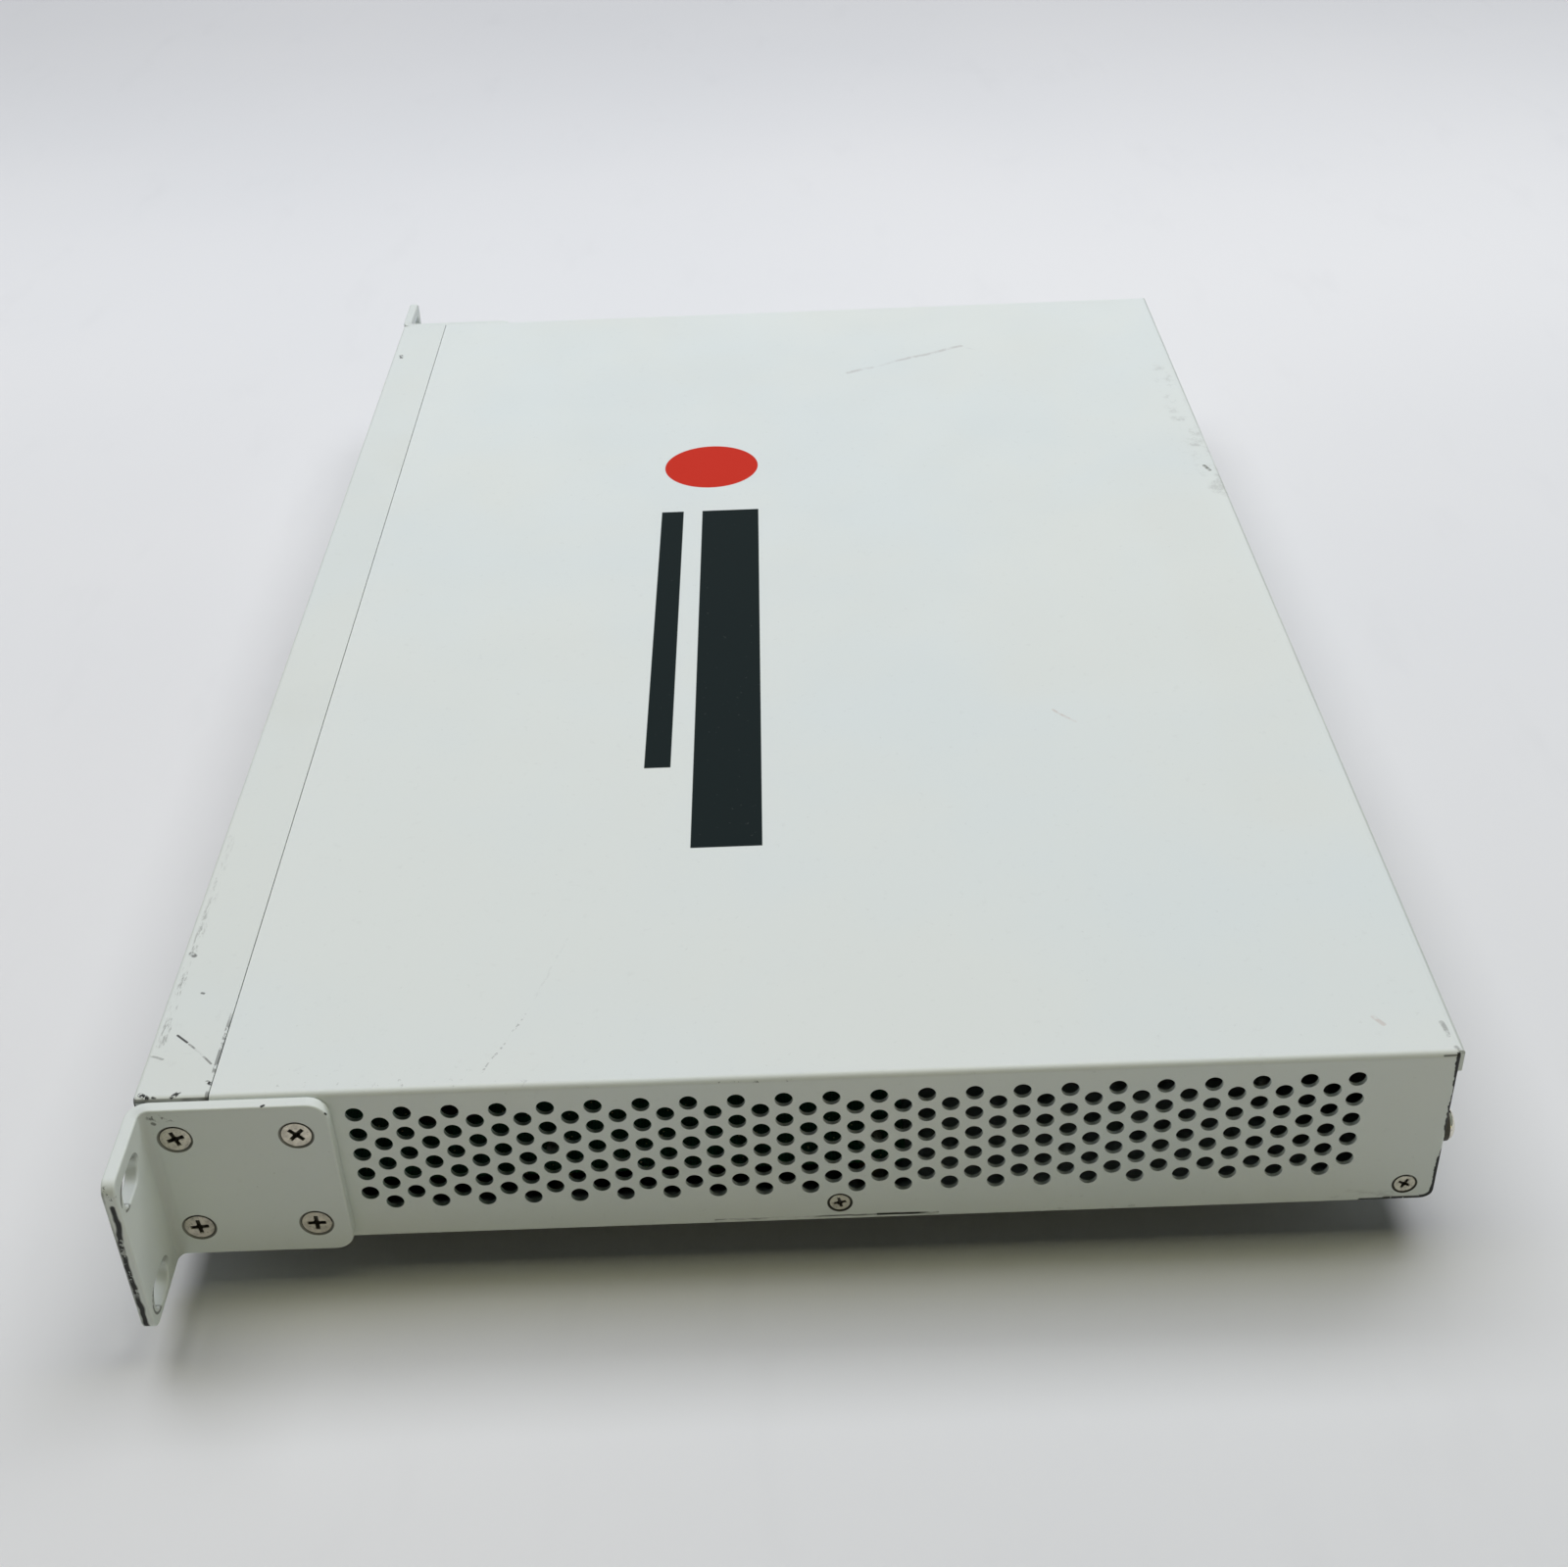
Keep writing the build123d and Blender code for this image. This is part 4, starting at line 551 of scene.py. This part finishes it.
def ear_finish():
    s = Shader("ear_paint")
    x, y, z = s.axis("X"), s.axis("Y"), s.axis("Z")
    reach = s.math("ABSOLUTE", x)
    tremble = s.wander(1.0 * MM, 260)

    # the right ear's outer end, worn to bare metal down its front edge
    outer = s.fit(reach, ear_high.x - 0.5 * MM, ear_high.x - 0.2 * MM)
    streak = s.line([spot(241.3, 0.95, 37.4), spot(241.3, 1.05, 33.0), spot(241.3, 0.45, 27.0),
                     spot(241.3, 0.15, 18.0), spot(241.3, 0.35, 9.0), spot(241.3, 0.55, -0.9)],
                    1.7 * MM, tremble)
    streak = s.both(outer, s.fit(x, 0.0, 1 * MM), streak)
    low = s.fit(z, BASE + 9 * MM, BASE + 13 * MM, 1, 0)
    high = s.fit(z, BASE + 26 * MM, BASE + 30 * MM)
    solid = s.both(s.either(low, high), s.broken(420, 0.76))
    faded = s.both(streak, s.blots(300, 3, 0.3, 0.6, 0.15, 0.62, rough=0.6))
    bare = s.both(streak, s.either(solid, s.broken(460, 0.60, 1.0)))
    outline = s.both(outer, s.fit(y, ear_low.y + 0.55 * MM, ear_low.y + 0.75 * MM, 1, 0),
                     s.blots(90, 3, 0.35, 0.6, 0.15, 0.6))

    corner = s.both(s.line([spot(241, 0.4, 42.6), spot(241.3, 1.6, 40.4)], 2.4 * MM),
                    s.broken(620, 0.42, 2.0))
    heel = s.both(s.line([spot(219.2, 4.4, 41.4), spot(219.2, 9.4, 41.0)], 2.6 * MM, tremble),
                  s.broken(560, 0.38, 3.0))
    speck = s.line([spot(219.0, 4.5, 39.8), spot(219.0, 4.8, 39.6)], 1.2 * MM)
    dark_specks = s.either(s.line([spot(218.6, 28.6, 43.4), spot(218.4, 29.0, 43.4)], 0.9 * MM),
                           s.line([spot(218.8, 42.0, 40.8), spot(218.6, 42.2, 40.4)], 0.9 * MM))
    rims, hollows = slot_marks(s, x, z)
    # painted shade: the inner bend between the ear's flange and its plate is darkened
    crease = s.both(s.near(reach, SIDE + 3.2 * MM, 2.6 * MM), s.near(y, ear_low.y + 3.4 * MM, 2.6 * MM))
    under = s.both(s.near(z, ear_low.z, 0.6 * MM), s.fit(reach, SIDE + 2.2 * MM, SIDE + 2.6 * MM),
                   s.broken(260, 0.36, 5.0))
    # painted shade and dirt together: the countersinks around the ear screws are darkened
    countersink_shade_and_dirt = s.both(s.fit(s.from_axes(EAR_SCREWS), 3.86 * MM, 3.98 * MM, 1, 0),
                    s.fit(y, FRONT + 2.5 * MM, FRONT + 3.5 * MM))
    marks = [
        (s.math("MULTIPLY", crease, 0.22), (0.30, 0.30, 0.27)),
        (s.math("MULTIPLY", hollows, 0.75), (0.13, 0.135, 0.125)),
        (s.either(faded, outline), (0.16, 0.165, 0.155)),
        (s.math("MULTIPLY", countersink_shade_and_dirt, 0.80), (0.15, 0.14, 0.115)),
        (s.math("MULTIPLY", s.either(rims, under), 0.75), DARK_WEAR),
        (s.math("MULTIPLY", s.either(heel, speck), 0.7), DARK_WEAR),
        (dark_specks, BARE_EDGE),
        (s.either(bare, corner), BARE_EDGE),
        (s.blots(520, 3, 0.70, 0.75, 0.0, 0.22, rough=0.7), (0.2, 0.2, 0.19)),
    ]
    coat(s, (0.700, 0.745, 0.732), marks, (0.40, 0.52))
    return s.material


def screw_metal(node, colour, rough, middle, rim, depth=0.12, along="X"):
    """Plated screws: their recesses and the outer part of their heads' rims are darkened, painted shade
    together with dirt.
    """
    s = Shader(node + "_plating")
    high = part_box(node)[1]
    face = high.x if along == "X" else high.y
    out = s.math("ABSOLUTE", s.axis(along)) if along == "X" else s.axis(along)
    deep = s.fit(out, face - depth * MM - 0.2 * MM, face - depth * MM, 1, 0)
    jagged = s.fit(s.noise(900, 3, 0.7), 0.3, 0.7, -0.5 * MM, 0.5 * MM, smooth=False)
    heart = s.fit(s.math("ADD", middle(s), jagged), 0.55 * MM, 0.85 * MM, 1, 0)
    rim_shade_and_dirt = s.both(s.fit(middle(s), rim * MM, (rim + 0.12) * MM), s.blots(240, 2, 0.35, 0.5, 0.25, 1.0))
    # painted shade and dirt together: the recess, the middle and the outer rim of each head go dark and
    # less metallic
    dirt = s.either(deep, heart, rim_shade_and_dirt)
    cloud = s.noise(420, 3, 0.6)
    dark = tuple(c * 0.72 for c in colour)
    tint = s.mix(s.fit(cloud, 0.35, 0.7), colour, dark)
    tint = s.mix(s.blots(1500, 3, 0.56, 0.68, 0.0, 0.45, rough=0.7), tint, (0.10, 0.085, 0.06))
    tint = s.mix(s.math("MULTIPLY", dirt, 0.93), tint, (0.020, 0.017, 0.011))
    gloss = s.fit(cloud, 0.3, 0.7, rough - 0.06, rough + 0.08)
    s.set("Base Color", tint)
    s.set("Metallic", s.fit(dirt, 0.0, 1.0, 1.0, 0.1))
    s.set("Roughness", s.math("MAXIMUM", gloss, s.math("MULTIPLY", dirt, 0.7)))
    s.set("Normal", s.bump(s.noise(1300, 2), 0.25, 0.03 * MM))
    return s.material


def rear_screw_middle(s):
    """Distance from the axes of the two pan-head screws in the rear."""
    across, up = REAR_SCREWS
    beside = s.math("SUBTRACT", s.math("ABSOLUTE", s.axis("X")), across * MM)
    above = s.math("SUBTRACT", s.axis("Z"), BASE + up * MM)
    squares = s.math("ADD", s.math("MULTIPLY", beside, beside), s.math("MULTIPLY", above, above))
    return s.math("SQRT", squares)


def metal(name, colour, rough, grain=(1.0, 1.0, 1.0), grain_scale=900, dirt=0.0):
    """Plain plated or bare metal with a directional grain and a little dirt."""
    s = Shader(name)
    lines = s.noise(grain_scale, 3, 0.6, stretch=Vector(grain))
    cloud = s.noise(60, 3, 0.6)
    dark = tuple(c * 0.72 for c in colour)
    tint = s.mix(s.fit(cloud, 0.3, 0.75), colour, dark)
    if dirt:
        grime = s.fit(s.noise(900, 3, 0.7), 0.52, 0.68, 0.0, dirt)
        tint = s.mix(grime, tint, (0.06, 0.05, 0.04))
    s.set("Base Color", tint)
    s.set("Metallic", 1.0)
    s.set("Roughness", s.fit(lines, 0.3, 0.7, rough - 0.08, rough + 0.08))
    s.set("Normal", s.bump(lines, 0.25, 0.02 * MM))
    return s.material


def galvanised(name):
    s = Shader(name)
    flake = s.cells(180, output="Color")
    tone = s.axis("X", flake)
    tint = s.mix(tone, (0.47, 0.48, 0.49), (0.60, 0.61, 0.62))
    smear = s.noise(30, 4, 0.7)
    tint = s.mix(s.fit(smear, 0.45, 0.8, 0.0, 0.35), tint, (0.30, 0.31, 0.31))
    s.set("Base Color", tint)
    s.set("Metallic", 1.0)
    s.set("Roughness", s.fit(tone, 0.0, 1.0, 0.34, 0.52))
    s.set("Normal", s.bump(s.noise(700, 2), 0.15, 0.03 * MM))
    return s.material


def moulded(name, colour, rough=0.5, grain=1400, strength=0.25, coat_weight=0.0):
    """Moulded plastic with a fine spark-eroded grain and faint wear."""
    s = Shader(name)
    cloud = s.noise(40, 3, 0.6)
    light = tuple(min(1.0, c * 1.35 + 0.012) for c in colour)
    s.set("Base Color", s.mix(s.fit(cloud, 0.35, 0.8), colour, light))
    s.set("Roughness", s.fit(s.noise(90, 3), 0.3, 0.7, rough - 0.07, rough + 0.08))
    s.set("Normal", s.bump(s.noise(grain, 2, 0.6), strength, 0.03 * MM))
    s.set("Coat Weight", coat_weight)
    return s.material


def circuit_board():
    s = Shader("circuit_board")
    brick = s.node("ShaderNodeTexBrick", offset=0.37, squash=0.6)
    s.feed(brick.inputs["Vector"], s.place)
    brick.inputs["Scale"].default_value = 320
    brick.inputs["Mortar Size"].default_value = 0.06
    brick.inputs["Color1"].default_value = (0, 0, 0, 1)
    brick.inputs["Color2"].default_value = (0.5, 0.5, 0.5, 1)
    brick.inputs["Mortar"].default_value = (1, 1, 1, 1)
    track = s.axis("X", brick.outputs["Color"])
    via = s.fit(s.cells(520), 0.10, 0.16, 1.0, 0.0)
    tint = s.mix(s.fit(track, 0.2, 0.9), (0.008, 0.070, 0.034), (0.020, 0.125, 0.060))
    tint = s.mix(s.math("MULTIPLY", via, 0.8), tint, (0.62, 0.55, 0.32))
    s.set("Base Color", tint)
    s.set("Roughness", 0.32)
    s.set("Coat Weight", 0.4)
    s.set("Normal", s.bump(track, 0.3, 0.03 * MM))
    return s.material


def wire_sleeves():
    """Red, black and yellow insulation, by where each wire runs."""
    s = Shader("wire_sleeve")
    x = s.axis("X")
    band = s.math("FRACT", s.math("MULTIPLY", x, 1 / (6.8 * MM)))
    tint = s.mix(s.fit(band, 0.45, 0.55), (0.50, 0.02, 0.015), (0.012, 0.012, 0.012))
    fan_side = s.fit(x, 20 * MM, 22 * MM)
    tint = s.mix(fan_side, tint, (0.55, 0.38, 0.02))
    s.set("Base Color", tint)
    s.set("Roughness", s.fit(s.noise(200, 2), 0.3, 0.7, 0.36, 0.5))
    s.set("Normal", s.bump(s.noise(900, 2), 0.15, 0.02 * MM))
    return s.material


def rubber():
    s = Shader("rubber")
    dust = s.noise(220, 4, 0.7)
    s.set("Base Color", s.mix(s.fit(dust, 0.5, 0.75), (0.012, 0.012, 0.012), (0.07, 0.068, 0.062)))
    s.set("Roughness", s.fit(dust, 0.3, 0.7, 0.62, 0.82))
    s.set("Specular IOR Level", 0.35)
    s.set("Normal", s.bump(s.noise(1500, 2), 0.35, 0.04 * MM))
    return s.material


def light_pipe():
    s = Shader("clear_plastic")
    haze = s.noise(300, 2)
    s.set("Base Color", s.mix(haze, (0.70, 0.80, 0.72), (0.82, 0.88, 0.82)))
    s.set("Roughness", s.fit(haze, 0.3, 0.7, 0.18, 0.32))
    s.set("Transmission Weight", 0.6)
    return s.material


def insulating_film():
    s = Shader("insulating_film")
    ripple = s.noise(35, 2)
    s.set("Base Color", s.mix(ripple, (0.62, 0.60, 0.50), (0.74, 0.72, 0.64)))
    s.set("Roughness", 0.3)
    s.set("Normal", s.bump(ripple, 0.4, 0.3 * MM))
    return s.material


def make_finishes():
    """One finished material for each of the record's material slots."""
    return {
        "cover_paint": cover_finish(),
        "bezel_paint": bezel_finish(),
        "ear_paint": ear_finish(),
        "base_steel": galvanised("base_steel"),
        "rubber": rubber(),
        "nickel_screw": metal("nickel_screw", (0.66, 0.62, 0.53), 0.34, (1, 1, 6), 700, 0.35),
        "black_screw": moulded("black_screw", (0.016, 0.016, 0.017), 0.36, 900, 0.2),
        "brass_parts": metal("brass_parts", (0.62, 0.45, 0.17), 0.30, (1, 1, 8), 800, 0.1),
        "circuit_board": circuit_board(),
        "chip_black": moulded("chip_black", (0.014, 0.014, 0.015), 0.48, 2200, 0.3),
        "heatsink_aluminium": metal("heatsink_aluminium", (0.70, 0.71, 0.72), 0.36, (12, 1, 1), 500),
        "black_plastic": moulded("black_plastic", (0.012, 0.012, 0.013), 0.46),
        "gloss_black_plastic": moulded("gloss_black_plastic", (0.010, 0.010, 0.010), 0.26, 1800, 0.12, 0.3),
        "grey_plastic": moulded("grey_plastic", (0.16, 0.16, 0.165), 0.45),
        "capacitor_sleeve": moulded("capacitor_sleeve", (0.010, 0.014, 0.030), 0.28, 600, 0.1, 0.4),
        "ferrite": moulded("ferrite", (0.030, 0.030, 0.033), 0.55, 700, 0.5),
        "winding_tape": moulded("winding_tape", (0.62, 0.42, 0.03), 0.30, 500, 0.3, 0.3),
        "insulating_film": insulating_film(),
        "jack_shield_metal": metal("jack_shield_metal", (0.72, 0.70, 0.66), 0.30, (1, 1, 10), 600, 0.12),
        "gold_contacts": metal("gold_contacts", (0.90, 0.62, 0.20), 0.22, (1, 4, 1), 900),
        "contact_metal": metal("contact_metal", (0.74, 0.72, 0.66), 0.24, (1, 6, 1), 700),
        "clear_plastic": light_pipe(),
        "guard_wire": metal("guard_wire", (0.66, 0.66, 0.65), 0.26, (1, 1, 1), 500, 0.1),
        "fan_plastic": moulded("fan_plastic", (0.010, 0.010, 0.011), 0.42, 1600, 0.2),
        "rotor_plastic": moulded("rotor_plastic", (0.016, 0.016, 0.018), 0.36, 1600, 0.15),
        "wire_sleeve": wire_sleeves(),
    }


def finish_nodes():
    finishes = make_finishes()
    screws = {
        "ear_screws": screw_metal("ear_screws", (0.68, 0.63, 0.52), 0.34,
                                  lambda s: s.from_axes(EAR_SCREWS), 3.22),
        "cover_side_screws": screw_metal("cover_side_screws", (0.64, 0.61, 0.50), 0.36,
                                         lambda s: s.from_axes(SIDE_SCREWS), 2.22),
        "cover_rear_screws": screw_metal("cover_rear_screws", (0.80, 0.76, 0.66), 0.13,
                                         rear_screw_middle, 4.2, 1.4, "Y"),
    }
    for row in frame["record"]["subparts"]:
        node = nodes[row["node"]]
        node.data.materials.clear()
        node.data.materials.append(screws.get(row["node"], finishes[row["material_slot"]]))


make_camera()
make_lights()
make_floor()
finish_nodes()
bpy.context.scene.view_settings.view_transform = "Standard"
